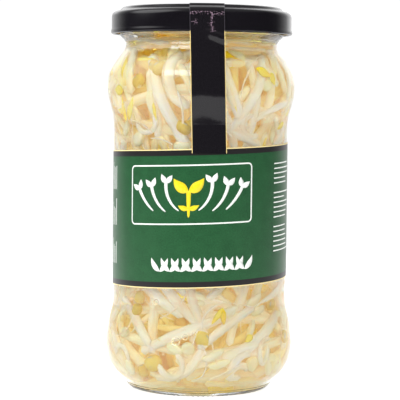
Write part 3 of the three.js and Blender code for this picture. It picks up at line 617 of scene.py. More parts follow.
# The black line's width, and the edge hair past it that is painted pale gold as a highlight
LABEL_LINE, LABEL_GOLD_EDGE = 2.3, 0.35
LABEL_RADIUS = 32.15
INK = 0.02
FRAME_LOW, FRAME_HIGH, FRAME_CORNER = (-27.2, 22.8), (19.2, 43.5), 1.4
GARLAND_UP = 6.0
SPRIGS = [(3.5, -5.6, 60), (8.4, -5.9, 42), (13.2, -5.6, 26)]


def on_label(round_mm, up_mm, lift):
    """Points on the skewed label, from millimetres round from the front and up from the lower edge."""
    height = LABEL_LOW + up_mm + round_mm * LABEL_SKEW
    return around(LABEL_RADIUS + lift, np.degrees(round_mm / PANEL_RADIUS), height)


def wrapped_label():
    """A band of constant width round the panel, its ends apart at the back: a thin section carried round."""
    reach = np.radians(LABEL_REACH_DEG) * PANEL_RADIUS
    round_mm = np.linspace(-reach, reach, 220)[:, None]
    up = np.concatenate([np.linspace(0, LABEL_TALL, 9), np.linspace(LABEL_TALL, 0, 9)])[None, :]
    lift = np.repeat([0, -0.13], 9)[None, :]
    paper = Batch().add(on_label(round_mm, up, lift), grain=grained(round_mm, up))
    paper.object("wrapped_label", [printed_label()], "label", sharp=40, replaces=["label"])


def ribbon(batch, path, half, closed=False):
    """A printed stroke on the label: a flat section carried along a path of (round, up), half as wide as
    half at each point. It stands a hair proud of the paper."""
    path = np.array(path, float)
    way = unit(np.roll(path, -1, 0) - np.roll(path, 1, 0) if closed else np.gradient(path, axis=0))
    side = np.stack([-way[:, 1], way[:, 0]], -1) * np.broadcast_to(half, len(path))[:, None]
    left, right = path + side, path - side
    section = [(left, -INK / 2), (left, INK), (path, INK), (right, INK), (right, -INK / 2)]
    rings = np.stack([on_label(*p.T, lift) for p, lift in section], 1)
    batch.add(rings, grain=np.stack([grained(*p.T) for p, _ in section], 1), closed=closed)


def rule(batch, start, end, steps, half):
    """A straight printed line between two points."""
    ribbon(batch, np.linspace(start, end, steps), half)


def rounded_frame(batch, low, high, half):
    """A closed line round a rectangle with quarter-circle corners, as a stroke."""
    low_x, low_y, high_x, high_y = np.array([*low, *high]) + FRAME_CORNER * np.array([1, 1, -1, -1])
    path = []
    for k, middle in enumerate([(high_x, high_y), (low_x, high_y), (low_x, low_y), (high_x, low_y)]):
        arc = np.radians(np.linspace(0, 90, 7)) + k * np.pi / 2
        path.extend(np.array(middle) + FRAME_CORNER * np.column_stack([np.cos(arc), np.sin(arc)]))
    fine = []
    for a, b in zip(path, np.roll(path, -1, 0)):
        steps = max(1, int(np.linalg.norm(b - a)))
        fine.append(a + (b - a) * np.arange(steps)[:, None] / steps)
    ribbon(batch, np.vstack(fine), half, closed=True)


def stroke(batch, start, heading, long, curl, half):
    """A printed stroke that sets out at a heading and turns evenly by curl, with its half width at even
    steps. Gives its end and its last heading."""
    turn = np.radians(heading + curl * (np.linspace(0, 1, len(half)) - 0.5))
    steps = long / (len(half) - 1) * np.column_stack([np.cos(turn), np.sin(turn)])
    path = np.array(start) + np.vstack([[0, 0], np.cumsum(steps[:-1], 0)])
    ribbon(batch, path, half)
    return path[-1], np.degrees(turn[-1])


def leaf_stroke(batch, start, heading, long, wide, curl):
    """A pointed leaf in print: its half width is a sine skewed to its base, plus a hair."""
    half = wide / 2 * np.sin(np.pi * np.linspace(0, 1, 14) ** 0.8) + 0.02
    stroke(batch, start, heading, long, curl, half)


def stem_stroke(batch, start, heading, long, wide, curl):
    """A sprout's stem in print: an arc that tapers to its root end."""
    half = wide / 2 * (0.25 + 0.75 * np.sqrt(np.linspace(0, 1, 18)))
    return stroke(batch, start, heading, long, curl, half)


def label_print():
    """What is printed on the green: a rounded frame with sprouts in it, a garland of leaves under it, and
    plain rules at the sides. No lettering."""
    white, yellow = Batch(), Batch()
    rounded_frame(white, FRAME_LOW, FRAME_HIGH, 0.26)
    middle, up = (np.array(FRAME_LOW) + FRAME_HIGH) / 2
    for mirror in (1, -1):
        for k, (reach, rise, curl) in enumerate(SPRIGS):
            start, heading = (middle + mirror * reach, up + rise), 90 - mirror * (24 + 7 * k)
            tip, turn = stem_stroke(white, start, heading, 11.5 - 0.8 * k, 1.25, mirror * curl)
            leaf_stroke(white, tip, turn + 34, 3.6, 1.9, -20)
            leaf_stroke(white, tip, turn - 34, 3.6, 1.9, 20)
    tip, _ = stem_stroke(yellow, (middle, up - 8.0), 90, 9.2, 1.7, 0)
    for side in (1, -1):
        leaf_stroke(yellow, tip, 90 + side * 48, 7.2, 3.6, side * -46)
        leaf_stroke(yellow, (middle, up - 5.0), 90 + side * 70, 4.0, 1.8, side * -40)
    for k in range(-4, 5):
        leaf_stroke(white, (3.9 * k + 1.0, GARLAND_UP), 58, 5.9, 1.9, 44)
        leaf_stroke(white, (3.9 * k + 1.0, GARLAND_UP + 0.1), 122, 5.9, 1.9, -44)
    draw = np.random.default_rng(7)
    for row in range(20):
        if row % 7 != 5:
            rule(white, (31.0, 42.6 - 1.75 * row), (40 + 6 * draw.random(), 42.6 - 1.75 * row), 14, 0.22)
    for x in (-44.5, -42.8, -41.1, -39.4):
        for low in (8, 22, 35):
            rule(white, (x, low), (x, low + 6 + 4 * draw.random()), 10, 0.24)
    for low, high in [((62, 8), (90, 40)), ((-90, 14), (-64, 36))]:
        rounded_frame(white, low, high, 0.2)
        for row in range(int((high[1] - low[1]) / 2.4) - 1):
            y = high[1] - 2.6 - 2.4 * row
            rule(white, (low[0] + 2, y), (high[0] - 2 - 8 * draw.random(), y), 24, 0.22)
    white_ink = printing_ink("white offset ink", "#f6f8f4", "#e9eee8")
    yellow_ink = printing_ink("yellow offset ink", "#f5df1c", "#ecd212")
    white.object("label_print_white", [white_ink], "label")
    yellow.object("label_print_yellow", [yellow_ink], "label")


# Seal strip

STRIP_WIDTH, STRIP_SHEET, STRIP_BARE = 12.3, 0.12, 0.22
STRIP_OFFSET = 3.1
STRIP_SKEW = np.tan(np.radians(1.5))
FOLD_HIGH = 127.6
# Where the strip meets the hem, and where the painted pale-pink crease highlights run over the lid
HEM_ALONG, CREASE_GLINT_HIGH, GLINT_LINE_ACROSS = 43.0, 50.0, 1.9
GLINT_PATCH = (-4.2, CREASE_GLINT_HIGH - 3.3, 0)
GLINT_WANDER, GLINT_HALVES, GLINT_PATCH_HALF, GLINT_PATCH_LEAST = 3.0, (0.25, 0.08, 0), 0.6, 0.15
OVER_LID = [
    (33.78, -6), (33.6, 0.2), (33.45, 3), (33.42, 5.6), (33.2, 6.7), (32.6, 7.5), (31.6, 8.0), (30.5, 8.4),
    (29.8, 8.95), (29.0, 9.32), (27.4, 9.34), (26.2, 9.2), (24.2, 8.62),
]
ON_LID = [(20, 8.6), (15, 8.6), (11, 8.62), (9, 8.9)]


def wrinkle(across, height):
    """A fold of the film where it spans the neck, on its right part: along a slanting line it leans out
    from below by a smooth step, and falls back to the lid by a shorter one."""
    slant = height - FOLD_HIGH + 0.35 * (across - 3)
    smooth = lambda t: np.clip(t, 0, 1) ** 2 * (3 - 2 * np.clip(t, 0, 1))
    out = smooth((slant + 2.2) / 3.8) * smooth((2.9 - slant) / 1.3)
    return out / (1 + np.exp(-2.2 * (across + 0.4)))


def seal_strip():
    """A film of constant width: its line runs over the label's edge, up the glass, across to the lid and
    over it. Each cross line bends with the round below it, and lies flat on the lid's top."""
    top = LABEL_LOW + LABEL_TALL
    glass = inwards(spline(UPPER_BULGE_SEEN, 36), -0.22)
    glass = glass[(glass[:, 1] > 96) & (glass[:, 1] < 115.5)]
    start = [(32.42, top - 1.6), (32.42, top - 0.5), (32.4, top + 1.4), (32.15, top + 4)]
    line = spline(np.vstack([start, glass, np.array(OVER_LID) + [0, HEM]]), 300)
    flat = np.array(ON_LID) + [0, HEM]
    across = np.linspace(-STRIP_WIDTH / 2, STRIP_WIDTH / 2, 15)
    x = STRIP_OFFSET - (line[:, 1:] - top) * STRIP_SKEW + across[None, :]
    wave = 0.08 * np.sin(across / 2.3 + line[:, 1:] / 5) * np.sin(line[:, 1:] / 4.3)
    bulge = np.where((line[:, 1:] > 92) & (line[:, 1:] < 136), wave, 0) + wrinkle(across, line[:, 1:])
    way = unit(np.gradient(line, axis=0))
    layers = []
    for sheet in (0.0, STRIP_SHEET):
        y = -np.sqrt((line[:, :1] + sheet * way[:, 1:] + bulge) ** 2 - x**2)
        wrapped = np.stack(np.broadcast_arrays(x, y, line[:, 1:] - sheet * way[:, :1]), -1)
        laid = np.stack(np.broadcast_arrays(x[-1:], -flat[:, :1], flat[:, 1:] + sheet), -1)
        layers.append(np.vstack([wrapped, laid]))
    rings = np.concatenate([layers[0], layers[1][:, ::-1]], 1)
    along = np.concatenate([[0], np.cumsum(np.linalg.norm(np.diff(layers[0][:, 7], axis=0), axis=1))])
    grain = grained(np.concatenate([across, across[::-1]])[None, :], along[:, None])
    film = Batch().add(rings, grain=grain)
    film.object("seal_film_strip", [seal_film()], "seal_film", sharp=50, replaces=["seal_strip"])


# Where the sprouts lie: the same rule and draws as the solids

class Seeded:
    """Mulberry32: the same draws as the part's source."""

    def __init__(self, seed):
        self.state = seed & 0xFFFFFFFF

    def __call__(self):
        mask = 0xFFFFFFFF
        self.state = t = (self.state + 0x6D2B79F5) & mask
        t = ((t ^ (t >> 15)) * (t | 1)) & mask
        t ^= (t + (t ^ (t >> 7)) * (t | 61)) & mask
        return (t ^ (t >> 14)) / 4294967296


RULE_WALL = inner_wall(RULE_SPANS)
NOTHING = (np.zeros((0, 3)), np.zeros(0))


def wall_at(height):
    """The inner wall's radius at heights, along straight stretches."""
    return np.interp(height, RULE_WALL[:, 1], RULE_WALL[:, 0])


def room_at(height, reach):
    """The radius that leaves a body of this reach clear of the wall at a height."""
    near = np.minimum(np.minimum(wall_at(height - reach), wall_at(height)), wall_at(height + reach))
    return near - reach - CLEAR


def thickness_at(sprout, share):
    """Half the stem's thickness along it: a root end tapers to a thin tail, the other end is a little
    slimmer."""
    tail = 0.22 + 2.6 * share if sprout["root"] else 0.8 + 2 * share
    return sprout["thick"] / 2 * np.minimum(1, tail) * (1 - 0.14 * np.maximum(0, share - 0.7) / 0.3)


def spans_of(sprout):
    """How many straight stretches the rule gives a stem: one for each so many degrees that it turns."""
    level = sprout["length"] * abs(np.sin(np.radians(sprout["lean"])))
    round_the_wall = np.degrees(level / (PANEL_RADIUS - WALL - sprout["depth"]))
    spans = int(np.floor((abs(sprout["bend"]) + round_the_wall) / TURN_PER_SPAN + 0.5))
    return min(max(spans, SPANS_LEAST), SPANS_MOST)


def stem_path(sprout):
    """The stem's corners, on the glass wall, and its reach at each. Its heading turns evenly along its
    length."""
    spans = spans_of(sprout)
    step = sprout["length"] / spans
    heading = np.radians(sprout["lean"] + sprout["bend"] * ((np.arange(spans) + 0.5) / spans - 0.5))
    u, v = (np.concatenate([[0], np.cumsum(step * part)]) for part in (np.sin(heading), np.cos(heading)))
    reach = thickness_at(sprout, np.arange(spans + 1) / spans)
    height = np.minimum(np.maximum(sprout["height"] + v - v.mean(), ROOM_LOW + reach), ROOM_HIGH - reach)
    least = COLUMN_RADIUS + CLEAR + sprout["thick"] / 2
    radius = np.maximum(room_at(height, sprout["thick"] / 2) - sprout["depth"], least)
    return around(radius, sprout["at"] + np.degrees((u - u.mean()) / radius), height), reach


def head_frame(points):
    """At the end of a stem: its end, ahead along it tilted off the glass, across it, and out to the glass."""
    before, end = points[-2:]
    out = unit(end * [1, 1, 0])
    ahead = unit(unit(end - before) - HEAD_DIP * out)
    across = unit(np.cross(out, ahead))
    return end, ahead, across, np.cross(ahead, across)


def samples_of(sprout):
    """Balls that a sprout fills, as points and reaches."""
    points, reach = stem_path(sprout)
    parts = int(np.ceil(sprout["length"] / spans_of(sprout) / SAMPLE_STEP))
    place = np.arange((len(points) - 1) * parts + 1) / parts
    start = np.minimum(place.astype(int), len(points) - 2)
    share = place - start
    balls = points[start] + (points[start + 1] - points[start]) * share[:, None]
    sizes = reach[start] + (reach[start + 1] - reach[start]) * share
    if sprout["head"]:
        end, ahead, _, _ = head_frame(points)
        for distance, size in HEAD_BALLS[sprout["head"]]:
            balls = np.vstack([balls, end + distance * ahead])
            sizes = np.append(sizes, size)
    return balls, sizes


def meeting(balls, others):
    """The least gap between two sets of balls, and the share of the first that is deep inside the second."""
    (points, reach), (others_points, others_reach) = balls, others
    if not len(others_reach):
        return np.inf, 0.0
    gap = np.linalg.norm(points[:, None] - others_points[None], axis=2) - reach[:, None] - others_reach[None]
    nearest = gap.min(1)
    return nearest.min(), (nearest < BURIED).sum() / len(reach)


def out_of_room(balls):
    """Whether some ball stands out of the room between the wall, the column, the floor and the neck."""
    points, reach = balls
    slim = np.minimum(reach, MOST_REACH)
    height, radius = points[:, 2], np.hypot(points[:, 0], points[:, 1])
    outside = (height - slim < ROOM_LOW - 0.1) | (height + slim > ROOM_HIGH + 0.1)
    outside |= (radius > room_at(height, slim) + 0.4) | (radius < COLUMN_RADIUS + slim + 0.1)
    return np.any(outside)


def joined(sets):
    """Several sets of balls as one."""
    return tuple(np.concatenate(parts) for parts in zip(NOTHING, *sets))


def add_if_clear(bunch, sprout, bunches, bean_balls, most_buried=MOST_BURIED):
    """Adds a sprout that touches its own bunch, isn't too deep in it, and clears all else."""
    balls = samples_of(sprout)
    if out_of_room(balls):
        return False
    others = joined([b["balls"] for b in bunches if b is not bunch] + [bean_balls])
    if meeting(balls, others)[0] < CLEAR:
        return False
    if len(bunch["balls"][1]):
        least, buried = meeting(balls, bunch["balls"])
        if least > CONTACT or buried > most_buried:
            return False
    bunch["members"].append(sprout)
    bunch["balls"] = joined([bunch["balls"], balls])
    return True


def place_listed(bunch, sprouts, bunches):
    """Adds the listed sprouts in a few passes, each nudged back or up where it doesn't fit."""
    for _ in range(LISTED_PASSES):
        left = []
        for sprout in sprouts:
            nudged = (
                {**sprout, "depth": sprout["depth"] + back, "height": sprout["height"] + lift}
                for back in NUDGES_BACK for lift in NUDGES_UP
            )
            if not any(add_if_clear(bunch, near, bunches, NOTHING, MOST_BURIED_LISTED) for near in nudged):
                left.append(sprout)
        sprouts = left


def bean_place(at, height):
    """Where a bean's middle lies by the wall."""
    return around(room_at(height, BEAN_LONG / 2), at, height)


def bean_ball(at, height):
    """The ball that a bean fills."""
    return bean_place(at, height)[None], np.array([BEAN_LONG / 2])


def place_beans(bunches):
    """Each bean goes to the nearest free spot, on rings about its own place."""
    balls = joined([b["balls"] for b in bunches])
    spots = [(0.7 * ring, np.pi / 8 * step) for ring in range(BEAN_RINGS + 1) for step in range(16)]
    beans = []
    for at0, height0, roll in BEANS:
        for away, turn in spots:
            at = at0 + np.degrees(away * np.sin(turn) / PANEL_RADIUS)
            height = height0 + away * np.cos(turn)
            ball = bean_ball(at, height)
            if not out_of_room(ball) and meeting(ball, balls)[0] >= CLEAR:
                balls = joined([balls, ball])
                beans.append((at, height, roll))
                break
    return beans


def grown_bunches():
    """All bunches with their sprouts, and the beans in the gaps."""
    draw = Seeded(SEED)
    between = lambda low, high: low + (high - low) * draw()
    bunches = [
        dict(
            name=f"sprout_bunch_{name}_{i + 1}", at=turn + 360 / number * i, cell=360 / number,
            height=height, depth=depth, most=most, lean=lean, members=[], balls=NOTHING,
        )
        for name, height, number, turn, depth, most, lean in BUNCH_ROWS for i in range(number)
    ]
    place_listed(bunches[0], FRONT_LOW, bunches)
    place_listed(bunches[8], FRONT_HIGH, bunches)
    beans = place_beans(bunches)
    bean_balls = joined([bean_ball(at, height) for at, height, _ in beans])
    for _ in range(TRIES_PER_BUNCH):
        for bunch in bunches:
            kind = draw()
            sprout = listed(
                bunch["at"] + between(-0.5, 0.5) * bunch["cell"], bunch["height"] + between(-17, 17),
                between(-bunch["lean"], bunch["lean"]), between(26, 46), between(-45, 45),
                bunch["depth"] + LAYER * np.floor(between(0, 2)), between(3.1, 4.3),
                "root" if kind < 0.25 else "leafy" if kind > 0.92 else "halves" if kind > 0.8 else None,
            )
            if len(bunch["members"]) < bunch["most"]:
                add_if_clear(bunch, sprout, bunches, bean_balls)
    return bunches, beans


# Sprouts

STEM, SEED_LEAF, YOUNG_LEAF = 0, 1, 2


def carried(line, half_across, half_out, sides, number):
    """A closed oval section carried along a line. Its axes at each point are across the line along the
    glass, and out to the glass."""
    ahead = unit(np.gradient(line, axis=0))
    side = unit(np.cross(ahead, unit(line * [1, 1, 0])))
    up = np.cross(side, ahead)
    turn = full_turn(sides)
    rings = (
        line[:, None]
        + side[:, None] * (half_across[:, None] * np.cos(turn))[..., None]
        + up[:, None] * (half_out[:, None] * np.sin(turn))[..., None]
    )
    along = np.concatenate([[0], np.cumsum(np.linalg.norm(np.diff(line, axis=0), axis=1))])
    return rings, grained((half_across.mean() * turn)[None, :], along[:, None], number)


def stem(batch, sprout, number, draw, sides=12):
    """A stem: an oval section along its path, a little uneven in thickness, its ends rounded over."""
    corners, reach = stem_path(sprout)
    steps = int(max(16, sprout["length"] / 1.6))
    radius = np.interp(np.linspace(0, len(reach) - 1, steps + 1), np.arange(len(reach)), reach)
    mm = np.linspace(0, 1, steps + 1) * sprout["length"]
    swell = 1 + 0.05 * np.sin(mm / draw.uniform(3, 5) + draw.uniform(0, 6)) + 0.03 * np.sin(mm / 1.7)
    radius = radius * swell
    for from_end in (mm, mm[-1] - mm):
        radius = radius * np.sqrt(np.clip(1 - (1 - np.minimum(from_end / 1.2, 1)) ** 2, 0.03, 1))
    rings, grain = carried(spline(corners, steps), radius, radius * draw.uniform(0.66, 0.92), sides, number)
    batch.add(rings, STEM, grain)
    if sprout["root"]:
        root_tail(batch, corners, number, draw)
    if sprout["head"]:
        head(batch, sprout, corners, number, draw)


def root_tail(batch, corners, number, draw):
    """A thread of root past the thin end: a fine tapering line that wanders along the glass."""
    start = corners[0]
    back = unit(start - corners[1])
    side = np.cross(unit(start * [1, 1, 0]), back)
    mm = np.linspace(0, draw.uniform(9, 16), 18)[:, None]
    sway = draw.uniform(-0.06, 0.06) * mm**2 + 0.5 * np.sin(mm / draw.uniform(1.8, 3))
    line = start + back * (mm - 0.6) + side * sway
    radius = np.hypot(line[:, 0], line[:, 1])
    height = np.clip(line[:, 2], ROOM_LOW, ROOM_HIGH)
    line[:, :2] *= (np.minimum(radius, room_at(height, 0.5)) / radius)[:, None]
    line[:, 2] = height
    taper = np.linspace(0.42, 0.12, 18)
    rings, grain = carried(line, taper, taper, 7, number)
    batch.add(rings, STEM, grain)


def half_seed(batch, place, long_way, out, number, long=7.2, wide=3.0, deep=3.4, flat_side=1):
    """Half a bean: an egg-shaped section along its length, round on one side and nearly flat on the other."""
    share = np.linspace(-1, 1, 15)
    half = (np.sqrt(np.clip(1 - share**2, 0.0025, 1)) * (1 - 0.1 * share))[:, None]
    turn = full_turn(14)
    across = np.cos(turn)
    across = np.where(across * flat_side > 0, across * 0.45, across) * (1.35 if flat_side else 1)
    dimple = 1 - 0.12 * np.exp(-((turn - np.pi / 2) ** 2) / 0.2)
    thick = deep / 2 * half * (np.sin(turn) * dimple)
    axes = long_way, np.cross(out, long_way), out
    rings = lobe(place, axes, long / 2 * share, wide / 2 * half * across, thick)
    batch.add(rings, SEED_LEAF, grained((1.6 * turn)[None, :], (long / 2 * share)[:, None], number))


def leaf_blade(batch, start, way, out, long, wide, number, curl, fold=0.5):
    """A young leaf: a thin section folded at its midrib, its width a skewed sine along it, curling off the
    glass."""
    share = np.linspace(0, 1, 16)
    half = (wide / 2 * np.sin(np.pi * share**0.75) ** 0.8 + 0.03)[:, None]
    cross = np.array([-1, -0.5, 0, 0.5, 1, 0.5, 0, -0.5])
    face = np.array([0, 1, 1, 1, 0, -1, -1, -1]) * 0.16
    wave = 0.12 * np.sin(share * 9 + number)[:, None] * np.abs(cross)
    sink = (-long * 0.25 * curl * share**2)[:, None]
    axes = way, np.cross(out, way), out
    rings = lobe(start, axes, long * share, half * cross, sink + fold * half * np.abs(cross) + face + wave)
    batch.add(rings, YOUNG_LEAF, grained(half * cross, (long * share)[:, None], number))


def head(batch, sprout, corners, number, draw):
    """Two seed halves at the stem's end, and a pair of young leaves between them where it has opened."""
    end, ahead, across, out = head_frame(corners)
    toward = lambda lean: ahead * np.cos(lean) + across * np.sin(lean)
    for side in (-1, 1):
        place = end + 2.0 * ahead + 1.2 * side * across
        half_seed(batch, place, toward(0.32 * side), out, number + side, flat_side=-side)
    if sprout["head"] == "leafy":
        for lean, long in ((-0.15, 9.2), (0.5, 8.0)):
            curl = draw.uniform(0.1, 0.4)
            leaf_blade(batch, end - 0.3 * ahead, toward(lean), out, long, 3.4, number + lean, curl)


def fine_bunches(bunches, looks):
    """Each bunch of the solids again, with finer sprouts."""
    draw = np.random.default_rng(11)
    number = 0
    for bunch in bunches:
        batch = Batch()
        for sprout in bunch["members"]:
            number += 1
            stem(batch, sprout, 1.7 * number, draw)
        batch.object(bunch["name"] + "_fine", looks, "sprout", replaces=[bunch["name"]])


# Fillers: the sprouts that the solids leave out, packed into the gaps and behind, as zones of lowest,
# highest, shallowest and deepest, how many, and tries
FILL_ZONES = [
    (8, 46, 0.0, 3.2, 60, 1500), (84, 122, 0.0, 3.2, 60, 1500),
    (8, 122, 2.6, 7.0, 150, 700), (8, 122, 7.5, 13.0, 150, 500),
]
FILL_BURIED = 0.3
NEAR_GLASS = 0.3

# Pieces seen against the glass: kind, angle, height, lean from upright, length, width, and depth behind
# the glass
SEEN_BITS = [
    ("leaf", -64, 109.6, -86, 6.4, 3.4, 0), ("leaf", -61, 103.2, -14, 9.4, 2.4, 0),
    ("leaf", -53.5, 103.2, 18, 9.0, 2.8, 0.3), ("seed", -57, 101.6, 158, 7.6, 3.4, 1.3),
    ("seed", -34.6, 105.6, 174, 9.4, 3.3, 0.6), ("leaf", -31.8, 102.2, 172, 6.5, 1.3, 0),
    ("round", -12.6, 89.9, 84, 7.0, 4.3, 0.2), ("round", -49.4, 92.3, 30, 6.4, 4.8, 0.2),
    ("round", -22.3, 122, 8, 6.8, 4.6, 0.2), ("leaf", -44, 119.6, 88, 7.5, 1.4, 0.4),
    ("seed", 20, 108.2, 157, 10.2, 3.0, 0), ("leaf", 21.4, 106.2, 160, 8.0, 0.9, 0),
    ("leaf", 44, 115.8, 112, 7.2, 3.0, 0), ("leaf", 52, 113.6, 150, 4.6, 2.6, 0),
    ("round", 50, 112, 60, 5.6, 4.2, 0.8), ("seed", 50.2, 91.2, 205, 7.0, 2.6, 0),
    ("leaf", 48.4, 90.4, 205, 6.0, 1.3, 0), ("seed", 60, 93.8, 190, 6.6, 2.5, 0.3),
    ("round", 33, 101, 35, 5.6, 4.0, 1.4), ("seed", -64, 96, 20, 6.4, 3.0, 0.4),
    ("seed", -15.5, 18.4, 112, 6.6, 3.4, 0.6), ("round", -6.9, 18.2, 60, 4.9, 4.7, 0),
    ("round", -58.4, 21.8, 70, 4.4, 3.6, 0), ("seed", -53.6, 10.6, 150, 5.8, 4.0, 0.2),
    ("seed", 20.2, 31.4, 66, 8.4, 3.7, 0), ("seed", 22.6, 29.6, 80, 7.4, 3.2, 1.0),
    ("leaf", 12.6, 29.6, 214, 7.4, 2.0, 0), ("leaf", 16.6, 29.2, 176, 6.0, 2.2, 0),
    ("leaf", 33.6, 21.4, 232, 3.6, 2.6, 0), ("seed", 37.4, 24.6, 24, 6.4, 2.3, 0.2),
    ("seed", 9.3, 16.4, 66, 8.6, 3.0, 0.2), ("seed", 13.8, 13.4, 76, 8.2, 3.0, 0.4),
    ("round", 39.1, 12.6, 40, 5.4, 5.0, 0), ("seed", 42.1, 35.2, 62, 7.6, 3.2, 0.3),
    ("seed", 46, 31, 70, 7.0, 3.4, 0.8), ("seed", 49, 15.4, 20, 6.2, 2.8, 0.2),
    ("seed", -64, 30, 160, 6.0, 2.4, 0.3), ("round", 66, 11.8, 0, 5.2, 4.2, 0.4),
]
SEEN_HOOKS = [listed(*row) for row in [
    (-17.8, 11.6, 60, 17, -235, 0, 2.3), (28.6, 8.9, 20, 16, 265, 0, 2.4),
    (47.6, 16.6, 10, 14, 190, 0.3, 2.0), (-40, 97, 70, 15, -200, 0.4, 2.2),
    (36, 96.8, -20, 15, 215, 0.3, 2.4), (-60, 15, 100, 13, 190, 0.2, 1.9),
]]
BIT_SIZES = {"leaf": (6.0, 2.4, 0.7), "seed": (7.2, 3.0, 2.8), "round": (5.6, 4.4, 3.6)}


def kept_clear(beans):
    """Balls round the beans and the small pieces seen in front, which the fillers leave in sight."""
    spots = [bean[:2] for bean in beans + EXTRA_BEANS] + [piece[1:3] for piece in SEEN_BITS]
    at, height = np.array(spots).T
    return around(room_at(height, 1.4), at, height), np.full(len(spots), 1.7)


def filler_sprouts(bunches, beans, looks, deep_shaded_looks):
    """More sprouts by dart throwing: one stays if no more than a share of it is deep inside the others."""
    draw = np.random.default_rng(23)
    balls = joined([b["balls"] for b in bunches])
    kept = kept_clear(beans)
    number = 1000
    for zone, (low, high, near, far, most, tries) in enumerate(FILL_ZONES):
        batch, last = Batch(), number + most
        for _ in range(tries):
            kind = draw.random()
            sprout = listed(
                draw.uniform(-180, 180), draw.uniform(low, high), draw.uniform(-90, 90), draw.uniform(20, 44),
                draw.uniform(-60, 60), draw.uniform(near, far), draw.uniform(2.8, 4.7),
                "root" if kind < 0.3 else "leafy" if kind > 0.93 else "halves" if kind > 0.8 else None,
            )
            mine = samples_of(sprout)
            if out_of_room(mine) or meeting(mine, kept)[0] < 0:
                continue
            close = np.linalg.norm(balls[0] - mine[0].mean(0), axis=1) < sprout["length"] / 2 + 6
            if meeting(mine, (balls[0][close], balls[1][close]))[1] > FILL_BURIED:
                continue
            balls = joined([balls, mine])
            number += 1
            stem(batch, sprout, 1.7 * number, draw, sides=10)
            if number == last:
                break
        # zones deep behind the front take the copies painted in golden shade
        batch.object(f"sprout_fill_{zone + 1}", looks if zone < 2 else deep_shaded_looks, "sprout")


def on_wall(place, lean):
    """At a point by the wall: the way that leans so many degrees from upright to the right, and out to the
    glass."""
    out = unit(place * [1, 1, 0])
    turn = np.radians(lean)
    return unit(np.array([-out[1] * np.sin(turn), out[0] * np.sin(turn), np.cos(turn)])), out


def bit(batch, kind, at, height, lean, long, wide, depth, number):
    """One small piece, flat against the glass wall."""
    deep = BIT_SIZES[kind][2]
    place = around(room_at(height, deep / 2) + NEAR_GLASS - depth, at, height)
    way, out = on_wall(place, lean)
    if kind == "leaf":
        leaf_blade(batch, place - way * long / 2, way, out, long, wide, number, 0.3, fold=0.2)
    else:
        half_seed(batch, place, way, out, number, long, wide, deep, flat_side=1 if kind == "seed" else 0)


def loose_bits(looks):
    """Seed halves, young leaves, curled tips and threads of root against the glass: those seen in front,
    and more drawn all round."""
    draw = np.random.default_rng(31)
    batch = Batch()
    for k, piece in enumerate(SEEN_BITS):
        bit(batch, *piece, 40.0 + 1.3 * k)
    for k, hook in enumerate(SEEN_HOOKS):
        stem(batch, hook, 200.0 + k, draw, sides=10)
    for k in range(60):
        low, high = (9, 38) if k % 2 else (91, 121)
        kind = ("seed", "round", "leaf", "seed")[k % 4]
        at, size = draw.uniform(60, 300), draw.uniform(0.75, 1.1)
        long, wide, _ = BIT_SIZES[kind]
        height, lean, depth = draw.uniform(low, high), draw.uniform(0, 360), draw.uniform(0, 1.2)
        bit(batch, kind, at, height, lean, long * size, wide * size, depth, 60.0 + k)
    for k in range(34):
        low, high = (10, 38) if k % 2 else (91, 120)
        thread = listed(
            draw.uniform(-180, 180), draw.uniform(low, high), draw.uniform(-180, 180), draw.uniform(8, 22),
            draw.uniform(-120, 120), draw.uniform(0, 0.8), draw.uniform(0.35, 0.9),
        )
        stem(batch, thread, 300.0 + k, draw, sides=6)
    batch.object("loose_seed_halves_leaves_and_roots", looks, "sprout")


def level_sprouts(name, seed, number, low, high, most_out, look_of, looks):
    """Short stems that lie nearly level round the axis, between two heights and within a radius: an oval
    section along a slightly bowed line, rounded over at its ends."""
    draw = np.random.default_rng(seed)
    batch = Batch()
    for k in range(number):
        radius, middle = most_out * np.sqrt(draw.uniform(0.12, 1)), draw.uniform(low, high)
        length, thick = draw.uniform(9, 22), draw.uniform(2.0, 3.8)
        mm = np.linspace(-0.5, 0.5, 16) * length
        height = middle + mm * draw.uniform(-0.3, 0.3) + draw.uniform(-0.012, 0.012) * mm**2
        height = np.clip(height, low - 1.0 + thick / 2, high + 1.4 - thick / 2)
        line = around(radius + 0.3 * np.sin(mm / 3), draw.uniform(0, 360) + np.degrees(mm / radius), height)
        half = thick / 2 * np.sqrt(np.clip(1 - (np.abs(mm) / (length / 2)) ** 10, 0.02, 1))
        rings, grain = carried(line, half, 0.8 * half, 9, 400.0 + k)
        batch.add(rings, look_of(k), grain)
    batch.object(name, looks, "sprout")


# Beans and bubbles

HILUM_OUT = 1.98
BUBBLES = [(-15, 20.6, 1.5), (-8.8, 22.2, 1.1), (-3, 23.4, 0.9), (-31, 34.2, 1.0), (-33.5, 33.2, 0.5)]


